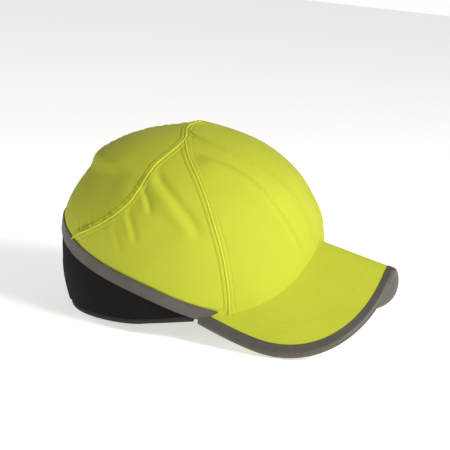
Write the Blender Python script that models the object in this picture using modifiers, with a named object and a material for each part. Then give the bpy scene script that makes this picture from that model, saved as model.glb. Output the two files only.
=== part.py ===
"""Hi-vis bump cap: a textile baseball-style cap over a removable hard inner shell with foam pads.

Metres, +Z up. The visor points to -Y and the wearer's right side is -X. Every piece is first laid out
in the cap's own frame (apex on the Z axis, neck hem in the plane z = 0) and then tipped with the empty
"cap_frame", so that the cap stands on its visor's sides and on the back of its neck hem.
"""

import math

import bmesh
import bpy
from mathutils import Matrix, Vector

MM = 0.001

# ---- driving dimensions -------------------------------------------------------------------
CROWN_HEIGHT = 141.5 * MM        # apex above the neck hem
CROWN_FRONT = 108 * MM           # reach of the crown from the apex axis to the forehead
CROWN_REAR = 104 * MM            # and to the nape
CROWN_HALF_WIDTH = 88 * MM
WALL_HEIGHT = 45 * MM            # height at which the crown is widest
FRONT_TUCK = 2 * MM              # how far the wall comes back in below that height
REAR_TUCK = 8 * MM
SIDE_TUCK = 3 * MM
DOME_SHARE = 0.74                # share of each meridian that is dome, the rest is wall
FRONT_FULLNESS = 2.12            # superellipse exponents of the three profiles
REAR_FULLNESS = 2.3
SIDE_FULLNESS = 2.4

FABRIC = 1.0 * MM                # yellow twill with its lining
PIPING_RADIUS = 1.2 * MM
SEAM_GAP = 0.4 * MM              # between two butted panels, to each side of the seam line
LAYER_GAP = 0.4 * MM             # between two layers that lie on each other
SEAM_TAPE_WIDTH = 11 * MM
SEAM_TAPE = 0.5 * MM
REFLECTIVE_TAPE_WIDTH = 10 * MM
REFLECTIVE_TAPE = 0.5 * MM
NECK_MESH = 1.0 * MM
SWEATBAND_HEIGHT = 28 * MM
SWEATBAND = 1.2 * MM

SHELL = 2.0 * MM
SHELL_CLEARANCE = 3.9 * MM       # outer face of the shell below the cover's outer face, at the top
SHELL_DRAW_IN = 4.0 * MM         # further inward at the shell's lower edge, so the cover lifts off
PAD = 5 * MM
PAD_GAP = 1.0 * MM               # glue line between pads and shell
VENT_LENGTH = 18 * MM
VENT_WIDTH = 7 * MM

VISOR_TOP = 57 * MM              # height where the visor's middle meets the forehead
VISOR_SLOPE = 0.3                # fall per metre forward
VISOR_ARCH = 0.95                # fall per metre sideways, away from the rounded middle
VISOR_ROUND = 9 * MM             # how rounded the middle of the arch is
VISOR_REACH = 60 * MM            # from the forehead to the visor's front edge
VISOR_HALF_WIDTH = CROWN_HALF_WIDTH - 1 * MM
VISOR_FULLNESS = 2.05
VISOR_CORNER = VISOR_HALF_WIDTH - 3 * MM    # half width at the rear corners
VISOR_TOP_COVER = 1.0 * MM
VISOR_BOARD = 1.8 * MM
VISOR_UNDER_COVER = 0.8 * MM
VISOR_BINDING_WIDTH = 6 * MM

ARCH_RADIUS = 30 * MM            # opening over the adjuster strap at the nape
ARCH_SPRING = 13 * MM            # height at which its round top begins
BINDING_RADIUS = 1.6 * MM
HEM_BINDING_HEIGHT = 5 * MM
HEM_BINDING = 3.2 * MM
STRAP_WIDTH = 20 * MM
STRAP = 1.4 * MM
STRAP_CENTRE_HEIGHT = 17 * MM

REST_PITCH = math.radians(-4.97)  # nose up, until visor and hem both touch the floor

# ---- seam lines: (degrees from the front towards the side, share of the meridian from the apex) ----
CROSSOVER_SEAM = [(0, 0.04), (70, 0.065), (76, 0.11), (75, 0.20), (84, 0.28), (94, 0.36), (98, 0.44),
                  (104, 0.51), (114, 0.57), (126, 0.62), (143, 0.69)]
FRONT_SEAM_ON_CROSSOVER = 0.21   # share of the cross-over seam where the front seam leaves it
SIDE_SEAM_ON_CROSSOVER = 0.3
CROSSOVER_END = 0.955            # share where the side panel's corner and the piping end
SIDE_SEAM = [(75, 0.20), (70, 0.31), (63, 0.43), (57.5, 0.58), (53.5, 0.72), (51.5, 0.86)]
SIDE_SEAM_FOOT = 51              # degrees, where the seam reaches the crown's lower edge
FRONT_SEAM = [(60, 0.18), (44, 0.24), (29, 0.30), (20, 0.36), (13.5, 0.45), (9.5, 0.54), (7, 0.62)]
FRONT_SEAM_FOOT = 5.5
TAPE_EDGE = [(74, 0.87), (95, 0.80), (114, 0.745), (133, 0.69), (148, 0.645), (160, 0.615), (180, 0.595)]
NECK_HEM = [(51, 0.96), (71, 0.968), (90, 0.985), (110, 1.0), (180, 1.0)]
SHELL_EDGE = [(0, 0.60), (30, 0.66), (52, 0.68), (68, 0.57), (80, 0.47), (95, 0.385), (120, 0.355),
              (180, 0.35)]
VISOR_INNER_END = 53             # degrees, where the visor's inner edge ends at the temple
VISOR_LAYER_END = VISOR_INNER_END - 4      # degrees, where the layers inside the binding end
VISOR_LAYER_START = 0.05         # share of the outline at which those layers' rear edges start
TAPE_START = 60                  # degrees, front end of the reflective tape's upper edge
TAPE_END_SLANT = 6               # degrees, how much further back its lower edge starts
MESH_START = 74                  # degrees, front end of the neck mesh
SWEATBAND_END = 125              # degrees


# ---- smooth curves through a few points --------------------------------------------------------
def through(points, s):
    """Point at share s (0..1) of a Catmull-Rom curve through 2-D points, evenly by point number."""
    x = min(max(s, 0.0), 1.0) * (len(points) - 1)
    i = min(int(x), len(points) - 2)
    f = x - i
    p1, p2 = points[i], points[i + 1]
    p0 = points[i - 1] if i else tuple(2 * a - b for a, b in zip(p1, p2))
    p3 = points[i + 2] if i + 2 < len(points) else tuple(2 * b - a for a, b in zip(p1, p2))
    return tuple(0.5 * (2 * b + (c - a) * f + (2 * a - 5 * b + 4 * c - d) * f * f
                        + (3 * b - a - 3 * c + d) * f ** 3) for a, b, c, d in zip(p0, p1, p2, p3))


def along(points, angle):
    """Second value of a line of (angle, value) points at an angle, symmetric about front and rear."""
    a = abs((angle + 180) % 360 - 180)
    a = min(max(a, points[0][0]), points[-1][0])
    low, high = 0.0, 1.0
    for _ in range(30):
        middle = (low + high) / 2
        low, high = (middle, high) if through(points, middle)[0] < a else (low, middle)
    return through(points, low)[1]


def chart(angle, t):
    """Place on a flat chart of the crown: t is the distance from the apex, angle 0 the front."""
    return Vector((-t * math.sin(math.radians(angle)), -t * math.cos(math.radians(angle))))


def chart_line(points, s, side=1):
    """A seam line on the chart; side -1 mirrors it to the wearer's left."""
    ends = [tuple(chart(*p)) for p in points]
    x, y = through(ends, s)
    return Vector((x * side, y))


# ---- the crown ---------------------------------------------------------------------------------
def profile(reach, fullness, tuck, t):
    if t < DOME_SHARE:
        turn = t / DOME_SHARE * math.pi / 2
        s, c = math.sin(turn), math.cos(turn)
        size = (s ** fullness + max(c, 0.0) ** fullness) ** (1 / fullness)
        return reach * s / size, WALL_HEIGHT + (CROWN_HEIGHT - WALL_HEIGHT) * c / size
    f = (t - DOME_SHARE) / (1 - DOME_SHARE)
    return reach - tuck * f * f, WALL_HEIGHT * (1 - f)


def crown_face(angle, t):
    """Point of the cover's outer face."""
    c, s = math.cos(math.radians(angle)), math.sin(math.radians(angle))
    t = max(t, 1e-4)
    if c >= 0:
        length, z_length = profile(CROWN_FRONT, FRONT_FULLNESS, FRONT_TUCK, t)
    else:
        length, z_length = profile(CROWN_REAR, REAR_FULLNESS, REAR_TUCK, t)
    width, z_width = profile(CROWN_HALF_WIDTH, SIDE_FULLNESS, SIDE_TUCK, t)
    r = 1 / math.sqrt((c / length) ** 2 + (s / width) ** 2)
    return Vector((-r * s, -r * c, z_length * c * c + z_width * s * s))


def crown_normal(angle, t):
    t = max(t, 0.01)
    a, b = crown_face(angle, t - 0.005), crown_face(angle, t + 0.005)
    c, d = crown_face(angle - 1, t), crown_face(angle + 1, t)
    n = (b - a).cross(d - c).normalized()
    return n if n.z > -0.5 and n.dot(crown_face(angle, t) - Vector((0, 0, WALL_HEIGHT / 2))) > 0 else -n


def crown(angle, t, offset=0.0):
    return crown_face(angle, t) + crown_normal(angle, t) * offset


def from_chart(p, offset=0.0):
    t = p.length
    return crown(math.degrees(math.atan2(-p.x, -p.y)), t, offset)


def share_at_height(angle, height):
    """Share of the meridian where the crown's face is at a height."""
    low, high = 0.0, 1.0
    for _ in range(30):
        middle = (low + high) / 2
        low, high = (middle, high) if crown_face(angle, middle).z > height else (low, middle)
    return low


# ---- the visor's sheet -----------------------------------------------------------------------------
def visor_height(x, y):
    forward = -CROWN_FRONT - y
    fall = math.sqrt(VISOR_ROUND ** 2 + (VISOR_ARCH * x) ** 2) - VISOR_ROUND
    return VISOR_TOP - VISOR_SLOPE * forward - fall


def junction(angle):
    """Share of the meridian where the visor's sheet meets the crown."""
    low, high = 0.3, 1.0
    for _ in range(30):
        middle = (low + high) / 2
        p = crown_face(angle, middle)
        low, high = (middle, high) if p.z > visor_height(p.x, p.y) else (low, middle)
    return low


def visor_sheet(x, y, offset=0.0):
    e = 0.5 * MM
    slope_x = (visor_height(x + e, y) - visor_height(x - e, y)) / (2 * e)
    slope_y = (visor_height(x, y + e) - visor_height(x, y - e)) / (2 * e)
    return Vector((x, y, visor_height(x, y))) + Vector((-slope_x, -slope_y, 1)).normalized() * offset


VISOR_MIDDLE_Y = -(CROWN_FRONT + VISOR_REACH - VISOR_HALF_WIDTH)
VISOR_CORNER_Y = crown_face(VISOR_INNER_END, junction(VISOR_INNER_END)).y + 9 * MM
VISOR_STRAIGHT = 0.14            # share of the outline, at each end, that runs straight back


def visor_outline(s):
    """Outer edge in plan, s from 0 at the wearer's right rear corner to 1 at the left one."""
    side = -1 if s < 0.5 else 1
    k = min(s, 1 - s)
    if k < VISOR_STRAIGHT:
        f = k / VISOR_STRAIGHT
        x = VISOR_CORNER + (VISOR_HALF_WIDTH - VISOR_CORNER) * math.sin(f * math.pi / 2)
        return Vector((side * x, VISOR_CORNER_Y + (VISOR_MIDDLE_Y - VISOR_CORNER_Y) * f))
    turn = (k - VISOR_STRAIGHT) / (0.5 - VISOR_STRAIGHT) * math.pi / 2
    power = 2 / VISOR_FULLNESS
    x = VISOR_HALF_WIDTH * max(math.cos(turn), 0.0) ** power
    return Vector((side * x, VISOR_MIDDLE_Y - VISOR_HALF_WIDTH * math.sin(turn) ** power))


def inside_outline(s, distance):
    e = 0.002
    a, b = visor_outline(max(s - e, 0)), visor_outline(min(s + e, 1))
    tangent = (b - a).normalized()
    return visor_outline(s) + Vector((-tangent.y, tangent.x)) * distance


# ---- making the solids -------------------------------------------------------------------------
for old in list(bpy.data.objects):
    bpy.data.objects.remove(old, do_unlink=True)
CAP = bpy.data.collections.new("bump_cap")
CUTTERS = bpy.data.collections.new("cutters")
bpy.context.scene.collection.children.link(CAP)
bpy.context.scene.collection.children.link(CUTTERS)

cap_frame = bpy.data.objects.new("cap_frame", None)
cap_frame.rotation_euler = (REST_PITCH, 0, 0)
CAP.objects.link(cap_frame)


def finish(name, colour, roughness, metallic=0.0):
    m = bpy.data.materials.new(name)
    m.use_nodes = True
    shader = m.node_tree.nodes["Principled BSDF"]
    shader.inputs["Base Color"].default_value = (*colour, 1)
    shader.inputs["Roughness"].default_value = roughness
    shader.inputs["Metallic"].default_value = metallic
    return m


YELLOW = finish("hi_vis_yellow", (0.56, 0.68, 0.05), 0.8)
REFLECTIVE = finish("reflective_grey", (0.20, 0.19, 0.18), 0.4)
BLACK_MESH = finish("black_mesh", (0.02, 0.02, 0.022), 0.9)
BLACK_WEBBING = finish("black_webbing", (0.025, 0.025, 0.027), 0.75)
BLACK_SHELL = finish("black_shell", (0.03, 0.03, 0.032), 0.35)
GREY_FOAM = finish("grey_foam", (0.10, 0.10, 0.11), 0.9)
SWEAT_CLOTH = finish("sweat_cloth", (0.04, 0.04, 0.045), 0.9)
SEAM_CLOTH = finish("seam_cloth", (0.60, 0.62, 0.45), 0.85)
VISOR_PLASTIC = finish("visor_plastic", (0.75, 0.75, 0.72), 0.5)
BUCKLE_PLASTIC = finish("buckle_plastic", (0.02, 0.02, 0.02), 0.3)


def add(name, mesh, material, collection=CAP):
    piece = bpy.data.objects.new(name, mesh)
    collection.objects.link(piece)
    piece.parent = cap_frame
    mesh.materials.append(material)
    return piece


def sheet(name, place, columns, rows, thickness, material, upward=False):
    """A grid laid by place(u, v) on its outer face and thickened inward."""
    grid = bmesh.new()
    bmesh.ops.create_grid(grid, x_segments=columns, y_segments=rows, size=0.5)
    for v in grid.verts:
        v.co = place(v.co.x + 0.5, v.co.y + 0.5)
    grid.normal_update()
    core = Vector((0, 0, WALL_HEIGHT))
    facing = sum(f.normal.z if upward else f.normal.dot((f.calc_center_median() - core).normalized())
                 for f in grid.faces)
    if facing < 0:
        bmesh.ops.reverse_faces(grid, faces=grid.faces)
    mesh = bpy.data.meshes.new(name)
    grid.to_mesh(mesh)
    grid.free()
    mesh.shade_smooth()
    piece = add(name, mesh, material)
    solid = piece.modifiers.new("thickness", "SOLIDIFY")
    solid.thickness = thickness
    solid.offset = -1
    solid.use_even_offset = False
    return piece


def bead(name, points, radius, material, rings=1):
    """A round cord along points."""
    curve = bpy.data.curves.new(name, "CURVE")
    curve.dimensions = "3D"
    curve.bevel_depth = radius
    curve.bevel_resolution = rings
    curve.use_fill_caps = True
    spline = curve.splines.new("POLY")
    spline.points.add(len(points) - 1)
    for target, p in zip(spline.points, points):
        target.co = (*p, 1)
    piece = bpy.data.objects.new(name, curve)
    CAP.objects.link(piece)
    piece.parent = cap_frame
    curve.materials.append(material)
    return piece


def pull_in(place, gaps, step=0.02):
    """The same patch with its edges pulled in by gaps = (u=0, u=1, v=0, v=1), square to each edge."""
    def placed(u, v):
        p = place(u, v)
        du, dv = (step if u < 0.5 else -step), (step if v < 0.5 else -step)
        along_u = (place(u + du, v) - p).normalized()
        along_v = (place(u, v + dv) - p).normalized()
        square = max(along_u.cross(along_v).length, 0.3)
        gap_u = gaps[0] if u < 1e-6 else gaps[1] if u > 1 - 1e-6 else 0
        gap_v = gaps[2] if v < 1e-6 else gaps[3] if v > 1 - 1e-6 else 0
        return p + (along_u * gap_u + along_v * gap_v) / square
    return placed


def coons(left, right, top, bottom, offset=0.0):
    """Patch of the crown between four chart lines: left and right run top to bottom."""
    def place(u, v):
        a, b, c, d = top(0), top(1), bottom(0), bottom(1)
        edge = left(v) * (1 - u) + right(v) * u + top(u) * (1 - v) + bottom(u) * v
        corner = a * (1 - u) * (1 - v) + b * u * (1 - v) + c * (1 - u) * v + d * u * v
        return from_chart(edge - corner, offset)
    return place


# ---- the cover's yellow panels ---------------------------------------------------------------------
WALL_SHARE_LENGTH = WALL_HEIGHT / (1 - DOME_SHARE)      # metres of wall for a whole share


def tape_edge(angle):
    """Upper edge of the reflective tape, which starts at the foot of the side seam."""
    foot = (SIDE_SEAM_FOOT, junction(SIDE_SEAM_FOOT))
    return along([foot] + TAPE_EDGE, angle)


def panel_edge(angle):
    """Lower edge of the yellow: it dips under the reflective tape, to the tape's middle."""
    a = abs((angle + 180) % 360 - 180)
    under = min(1.0, max(0.0, (a - SIDE_SEAM_FOOT) / (TAPE_START + TAPE_END_SLANT - SIDE_SEAM_FOOT)))
    return tape_edge(angle) + under * REFLECTIVE_TAPE_WIDTH / WALL_SHARE_LENGTH / 2


def straight(a, b):
    return lambda s: a * (1 - s) + b * s


def crossover_line(s0, s1, side):
    return lambda s: chart_line(CROSSOVER_SEAM, s0 + (s1 - s0) * s, side)


def seam_line(points, side):
    return lambda s: chart_line(points, s, side)


def edge_line(share, start, end, side):
    def line(s):
        angle = start + (end - start) * s
        p = chart(angle, share(angle))
        return Vector((p.x * side, p.y))
    return line


def front_seam(side):
    start = chart_line(CROSSOVER_SEAM, FRONT_SEAM_ON_CROSSOVER)
    top = (math.degrees(math.atan2(-start.x, -start.y)), start.length)
    return seam_line([top] + FRONT_SEAM + [(FRONT_SEAM_FOOT, junction(FRONT_SEAM_FOOT))], side)


def side_seam(side):
    return seam_line(SIDE_SEAM + [(SIDE_SEAM_FOOT, junction(SIDE_SEAM_FOOT))], side)


def over_the_top(s):
    """The cross-over seam between the two front seams, from the wearer's left to the right."""
    return chart_line(CROSSOVER_SEAM, FRONT_SEAM_ON_CROSSOVER * abs(2 * s - 1), 1 if s > 0.5 else -1)


PIPED = PIPING_RADIUS + SEAM_GAP
PLAIN = SEAM_GAP
SIDES = (("right", 1), ("left", -1))

front_centre = coons(front_seam(-1), front_seam(1), over_the_top,
                     edge_line(junction, -FRONT_SEAM_FOOT, FRONT_SEAM_FOOT, 1))
sheet("front_centre_panel", pull_in(front_centre, (PLAIN, PLAIN, PIPED, PLAIN)), 6, 16, FABRIC, YELLOW)

for label, side in SIDES:
    front_side = coons(front_seam(side), side_seam(side),
                       crossover_line(FRONT_SEAM_ON_CROSSOVER, SIDE_SEAM_ON_CROSSOVER, side),
                       edge_line(junction, FRONT_SEAM_FOOT, SIDE_SEAM_FOOT, side))
    sheet(f"front_side_panel_{label}", pull_in(front_side, (PLAIN, PIPED, PIPED, PLAIN)),
          8, 16, FABRIC, YELLOW)

    side_end = 139
    corner = chart(side_end, panel_edge(side_end))
    corner.x *= side
    side_top = crossover_line(SIDE_SEAM_ON_CROSSOVER, CROSSOVER_END, side)
    side_patch = coons(side_seam(side), straight(side_top(1), corner), side_top,
                       edge_line(panel_edge, SIDE_SEAM_FOOT, side_end, side))
    sheet(f"side_panel_{label}", pull_in(side_patch, (PIPED, PLAIN, PIPED, PLAIN)), 15, 10, FABRIC, YELLOW)

    rear_end = 147
    corner = chart(rear_end, panel_edge(rear_end))
    corner.x *= side
    rear_top = crossover_line(0, CROSSOVER_END, side)
    rear_patch = coons(straight(rear_top(0), Vector((0, panel_edge(180)))), straight(rear_top(1), corner),
                       rear_top, edge_line(panel_edge, 180, rear_end, side))
    sheet(f"rear_panel_{label}", pull_in(rear_patch, (PLAIN, PLAIN, PIPED + SEAM_GAP, PLAIN)),
          14, 9, FABRIC, YELLOW)

# ---- piping and inside seam tapes ---------------------------------------------------------------------
PIPING_SINK = 0.2 * MM
steps = 22
crossover_points = [from_chart(chart_line(CROSSOVER_SEAM, CROSSOVER_END * abs(i) / steps, 1 if i > 0 else -1),
                               -PIPING_SINK) for i in range(-steps, steps + 1)]
bead("crossover_piping", crossover_points, PIPING_RADIUS, YELLOW)
for label, side in SIDES:
    line = side_seam(side)
    points = [from_chart(line(0.035 + 0.955 * i / 20), -PIPING_SINK) for i in range(21)]
    bead(f"side_piping_{label}", points, PIPING_RADIUS, YELLOW)


def seam_strip(name, line, start, end, depth, columns):
    """A tape of SEAM_TAPE_WIDTH under a seam line, inside the cap."""
    def place(u, v):
        s = start + (end - start) * u
        e = 0.01
        here, ahead, behind = line(s), line(min(s + e, 1)), line(max(s - e, 0))
        tangent = (from_chart(ahead) - from_chart(behind)).normalized()
        angle = math.degrees(math.atan2(-here.x, -here.y))
        normal = crown_normal(angle, here.length)
        across = normal.cross(tangent).normalized()
        return from_chart(here, -depth) + across * (v - 0.5) * SEAM_TAPE_WIDTH
    return sheet(name, place, columns, 1, SEAM_TAPE, SEAM_CLOTH)


for label, side in SIDES:
    seam_strip(f"front_seam_tape_{label}", front_seam(side), 0.16, 0.68, FABRIC + 2 * LAYER_GAP, 10)
seam_strip("rear_seam_tape", straight(Vector((0, 0)), Vector((0, panel_edge(180)))), 0.10, 0.97,
           FABRIC + 2 * LAYER_GAP, 12)
for label, side in SIDES:
    seam_strip(f"crossover_seam_tape_{label}", crossover_line(0, 1, side), 0.10, 0.90,
               PIPING_RADIUS + PIPING_SINK + 2 * LAYER_GAP, 14)

# ---- reflective tape, neck mesh and their bindings ----------------------------------------------------
TAPE_SHARE = REFLECTIVE_TAPE_WIDTH / WALL_SHARE_LENGTH


def tape_place(u, v):
    start = TAPE_START + TAPE_END_SLANT * v
    angle = start + (360 - 2 * start) * u
    return crown(angle, tape_edge(angle) + TAPE_SHARE * v, 1.5 * LAYER_GAP + REFLECTIVE_TAPE)


sheet("reflective_hem_tape", tape_place, 44, 1, REFLECTIVE_TAPE, REFLECTIVE)


def arch_point(turn, radius, offset):
    """Point of the crown's face on the arch over the strap: turn in degrees, 0 and 180 its two feet."""
    x = radius * math.cos(math.radians(turn))
    z = ARCH_SPRING + radius * math.sin(math.radians(turn))
    return nape_point(x, z, offset)


def nape_point(x, z, offset):
    angle = 180.0
    for _ in range(4):
        t = share_at_height(angle, z)
        p = crown_face(angle, t)
        angle = math.degrees(math.atan2(-x, -p.y))
    return crown(angle, t, offset)


arch_cut = bmesh.new()
cut_radius = ARCH_RADIUS + BINDING_RADIUS + LAYER_GAP
cut_depth = CROWN_REAR
lying = Matrix.Translation((0, CROWN_REAR, ARCH_SPRING)) @ Matrix.Rotation(math.pi / 2, 4, "X")
bmesh.ops.create_cone(arch_cut, cap_ends=True, segments=32, radius1=cut_radius, radius2=cut_radius,
                      depth=cut_depth, matrix=lying)
round_mesh = bpy.data.meshes.new("arch_round")
arch_cut.to_mesh(round_mesh)
arch_cut.free()
lower_cut = bmesh.new()
box_height = ARCH_SPRING + 20 * MM
bmesh.ops.create_cube(lower_cut, size=1, matrix=Matrix.Translation((0, CROWN_REAR, ARCH_SPRING - box_height / 2))
                      @ Matrix.Diagonal((2 * cut_radius, cut_depth, box_height, 1)))
box_mesh = bpy.data.meshes.new("arch_foot")
lower_cut.to_mesh(box_mesh)
lower_cut.free()
cutters = []
for mesh in (round_mesh, box_mesh):
    cutter = add(mesh.name, mesh, BLACK_MESH, CUTTERS)
    cutter.hide_render = True
    cutter.display_type = "WIRE"
    cutters.append(cutter)


def cut(piece, tool):
    boolean = piece.modifiers.new("cut", "BOOLEAN")
    boolean.operation = "DIFFERENCE"
    boolean.object = tool


HEM_CLEAR = (HEM_BINDING_HEIGHT + LAYER_GAP) / WALL_SHARE_LENGTH
HEM_END = 180 - math.degrees(math.asin((ARCH_RADIUS + BINDING_RADIUS + LAYER_GAP + 1 * MM)
                                       / (CROWN_REAR - REAR_TUCK)))

for label, side in SIDES:
    def mesh_place(u, v):
        angle = MESH_START + (180 - MESH_START) * u
        top = panel_edge(angle) + 2 * SEAM_GAP / WALL_SHARE_LENGTH
        t = top + (along(NECK_HEM, angle) - HEM_CLEAR - top) * v
        return crown(angle * side, t)

    neck = sheet(f"neck_mesh_{label}", pull_in(mesh_place, (0, PLAIN, 0, 0)), 16, 6, NECK_MESH, BLACK_MESH)
    for tool in cutters:
        cut(neck, tool)

    def hem_place(u, v):
        angle = MESH_START + (HEM_END - MESH_START) * u
        p = crown_face(angle * side, along(NECK_HEM, angle))
        out = Vector((p.x, p.y, 0)).normalized() * (HEM_BINDING - NECK_MESH) / 2
        return p + out + Vector((0, 0, HEM_BINDING_HEIGHT * (1 - v)))

    sheet(f"neck_hem_binding_{label}", hem_place, 16, 1, HEM_BINDING, BLACK_WEBBING)

feet = [nape_point(sign * ARCH_RADIUS, z, -NECK_MESH / 2) for sign, z in ((1, 1.5 * MM), (1, ARCH_SPRING / 2))]
round_part = [arch_point(180 * i / 20, ARCH_RADIUS, -NECK_MESH / 2) for i in range(21)]
mirrored = [Vector((-p.x, p.y, p.z)) for p in reversed(feet)]
bead("arch_binding", feet + round_part + mirrored, BINDING_RADIUS, BLACK_WEBBING)


# ---- sweatband ---------------------------------------------------------------------------------------------
def sweatband_edge(angle):
    if abs(angle) <= VISOR_INNER_END:
        return junction(angle) - 2 * MM / WALL_SHARE_LENGTH
    return along(NECK_HEM, angle) - HEM_CLEAR - LAYER_GAP / WALL_SHARE_LENGTH


def sweatband_place(u, v):
    angle = SWEATBAND_END * (1 - 2 * u)
    t = sweatband_edge(angle) - SWEATBAND_HEIGHT / WALL_SHARE_LENGTH * (1 - v)
    return crown(angle, t, -(FABRIC + LAYER_GAP))


sheet("sweatband", sweatband_place, 36, 3, SWEATBAND, SWEAT_CLOTH)


# ---- visor -------------------------------------------------------------------------------------------------
VISOR_GAP = 0.8 * MM


def visor_layer(name, depth, thickness, material, columns, rows):
    """One layer of the visor, its top face at depth below the visor's sheet."""
    def place(u, v):
        angle = VISOR_LAYER_END * (1 - 2 * u)
        p = crown_face(angle, junction(angle))
        inner = Vector((p.x, p.y))
        inner += inner.normalized() * (VISOR_GAP + 0.85 * (depth + thickness))
        outer = inside_outline(VISOR_LAYER_START + (1 - 2 * VISOR_LAYER_START) * u, VISOR_BINDING_WIDTH + LAYER_GAP)
        flat = inner * (1 - v) + outer * v
        return visor_sheet(flat.x, flat.y, -depth)
    return sheet(name, place, columns, rows, thickness, material, upward=True)


board_depth = VISOR_TOP_COVER + LAYER_GAP
under_depth = board_depth + VISOR_BOARD + 1.6 * LAYER_GAP
visor_depth = under_depth + VISOR_UNDER_COVER
visor_layer("visor_top_cover", 0, VISOR_TOP_COVER, YELLOW, 24, 6)
visor_layer("visor_board", board_depth, VISOR_BOARD, VISOR_PLASTIC, 24, 5)
visor_layer("visor_under_cover", under_depth, VISOR_UNDER_COVER, YELLOW, 24, 5)


def binding_place(u, v):
    flat = inside_outline(0.004 + 0.992 * u, VISOR_BINDING_WIDTH * (1 - v))
    return visor_sheet(flat.x, flat.y, LAYER_GAP)


sheet("visor_edge_binding", binding_place, 44, 1, visor_depth + 2 * LAYER_GAP, REFLECTIVE, upward=True)


# ---- inner shell and its pads ---------------------------------------------------------------------------------
def shell_depth(angle, t):
    """Depth of the shell's outer face below the cover's, more towards its lower edge."""
    return SHELL_CLEARANCE + SHELL_DRAW_IN * (t / along(SHELL_EDGE, angle)) ** 2


def shell_place(u, v):
    x, y = 2 * u - 1, 2 * v - 1
    disc = Vector((x * math.sqrt(1 - y * y / 2), y * math.sqrt(1 - x * x / 2)))
    angle = math.degrees(math.atan2(-disc.x, -disc.y))
    t = disc.length * along(SHELL_EDGE, angle)
    return crown(angle, t, -shell_depth(angle, t))


shell = sheet("inner_shell", shell_place, 18, 18, SHELL, BLACK_SHELL)

vent_mesh = bmesh.new()
for angle, t in ((24, 0.26), (62, 0.30), (100, 0.22), (150, 0.22)):
    for side in (1, -1):
        normal = crown_normal(angle * side, t)
        down = (crown_face(angle * side, t + 0.01) - crown_face(angle * side, t)).normalized()
        turn = Matrix((down.cross(normal), down, normal)).transposed().to_4x4()
        stretch = Matrix.Diagonal((1, VENT_LENGTH / VENT_WIDTH, 1, 1))
        place = Matrix.Translation(crown(angle * side, t, -shell_depth(angle, t)))
        bmesh.ops.create_cone(vent_mesh, cap_ends=True, segments=16, radius1=VENT_WIDTH / 2,
                              radius2=VENT_WIDTH / 2, depth=4 * SHELL + 4 * MM, matrix=place @ turn @ stretch)
cut_mesh = bpy.data.meshes.new("vents")
vent_mesh.to_mesh(cut_mesh)
vent_mesh.free()
vents = add("vents", cut_mesh, BLACK_SHELL, CUTTERS)
vents.hide_render = True
vents.display_type = "WIRE"
cut(shell, vents)


def pad(name, start, end, upper, lower, columns, rows):
    """Foam pad under the shell between two angles and two shares of the meridian."""
    def place(u, v):
        angle, t = start + (end - start) * u, upper + (lower - upper) * v
        return crown(angle, t, -(shell_depth(angle, t) + SHELL + PAD_GAP))
    return sheet(name, place, columns, rows, PAD, GREY_FOAM)


pad("brow_pad", 40, -40, 0.43, 0.585, 10, 3)
for label, side in SIDES:
    pad(f"side_pad_{label}", 50 * side, 70 * side, 0.36, 0.54, 4, 4)
    pad(f"rear_pad_{label}", 112 * side, 166 * side, 0.285, 0.335, 6, 2)
crown_pad_x, crown_pad_y = 0.13, 0.17


def crown_pad_place(u, v):
    p = Vector(((u - 0.5) * 2 * crown_pad_x, (v - 0.5) * 2 * crown_pad_y))
    angle = math.degrees(math.atan2(-p.x, -p.y))
    return crown(angle, p.length, -(shell_depth(angle, p.length) + SHELL + PAD_GAP))


sheet("crown_pad", crown_pad_place, 6, 6, PAD, GREY_FOAM)

# ---- adjuster strap at the nape -------------------------------------------------------------------------------
nape = crown_face(180, share_at_height(180, STRAP_CENTRE_HEIGHT))
width_there = profile(CROWN_HALF_WIDTH, SIDE_FULLNESS, SIDE_TUCK, share_at_height(90, STRAP_CENTRE_HEIGHT))[0]
NAPE_RADIUS = width_there ** 2 / nape.y          # how round the nape is there
STRAP_CENTRE_Y = nape.y - NAPE_RADIUS
STRAP_RADIUS = NAPE_RADIUS - 4.8 * MM            # outer face of the strap, inside the neck mesh
TAB_THICKNESS = 1.2 * MM
STRAP_END = 48.8 * MM                            # where the strap is sewn to the neck, along the strap
RING_START, RING_LENGTH = 17.4 * MM, 10.6 * MM
RING_MIDDLE = RING_START + RING_LENGTH / 2
WEB_OVERLAP = 0.5 * MM
TAB_LENGTH = 26 * MM


def strap_turn(length):
    """Degrees that a length along the strap takes up."""
    return math.degrees(length / STRAP_RADIUS)


def strap_piece(name, start, end, radius, thickness, material, columns, height=STRAP_WIDTH):
    """Upright band round the nape between two lengths from the rear, positive to the right."""
    def place(u, v):
        turn = math.radians(strap_turn(start + (end - start) * u))
        z = STRAP_CENTRE_HEIGHT + height * (0.5 - v)
        return Vector((-radius * math.sin(turn), STRAP_CENTRE_Y + radius * math.cos(turn), z))
    return sheet(name, place, columns, 1, thickness, material)


tab_radius = STRAP_RADIUS + LAYER_GAP + TAB_THICKNESS
strap_piece("strap_web", -STRAP_END, RING_MIDDLE + WEB_OVERLAP, STRAP_RADIUS, STRAP, BLACK_WEBBING, 12)
strap_piece("ring_anchor", RING_MIDDLE + WEB_OVERLAP + 1 * MM, STRAP_END, STRAP_RADIUS, STRAP, BLACK_WEBBING, 5)
strap_piece("strap_tab", RING_START - 1 * MM - TAB_LENGTH, RING_START - 1 * MM, tab_radius, TAB_THICKNESS,
            BLACK_WEBBING, 6, STRAP_WIDTH - 1 * MM)
ring = strap_piece("strap_ring", RING_START, RING_START + RING_LENGTH, tab_radius, TAB_THICKNESS, BUCKLE_PLASTIC, 3)
slot_mesh = bmesh.new()
slot_turn = Matrix.Rotation(math.radians(strap_turn(RING_MIDDLE)), 4, "Z")
slot_place = Matrix.Translation((0, STRAP_CENTRE_Y, STRAP_CENTRE_HEIGHT)) @ slot_turn
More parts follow.
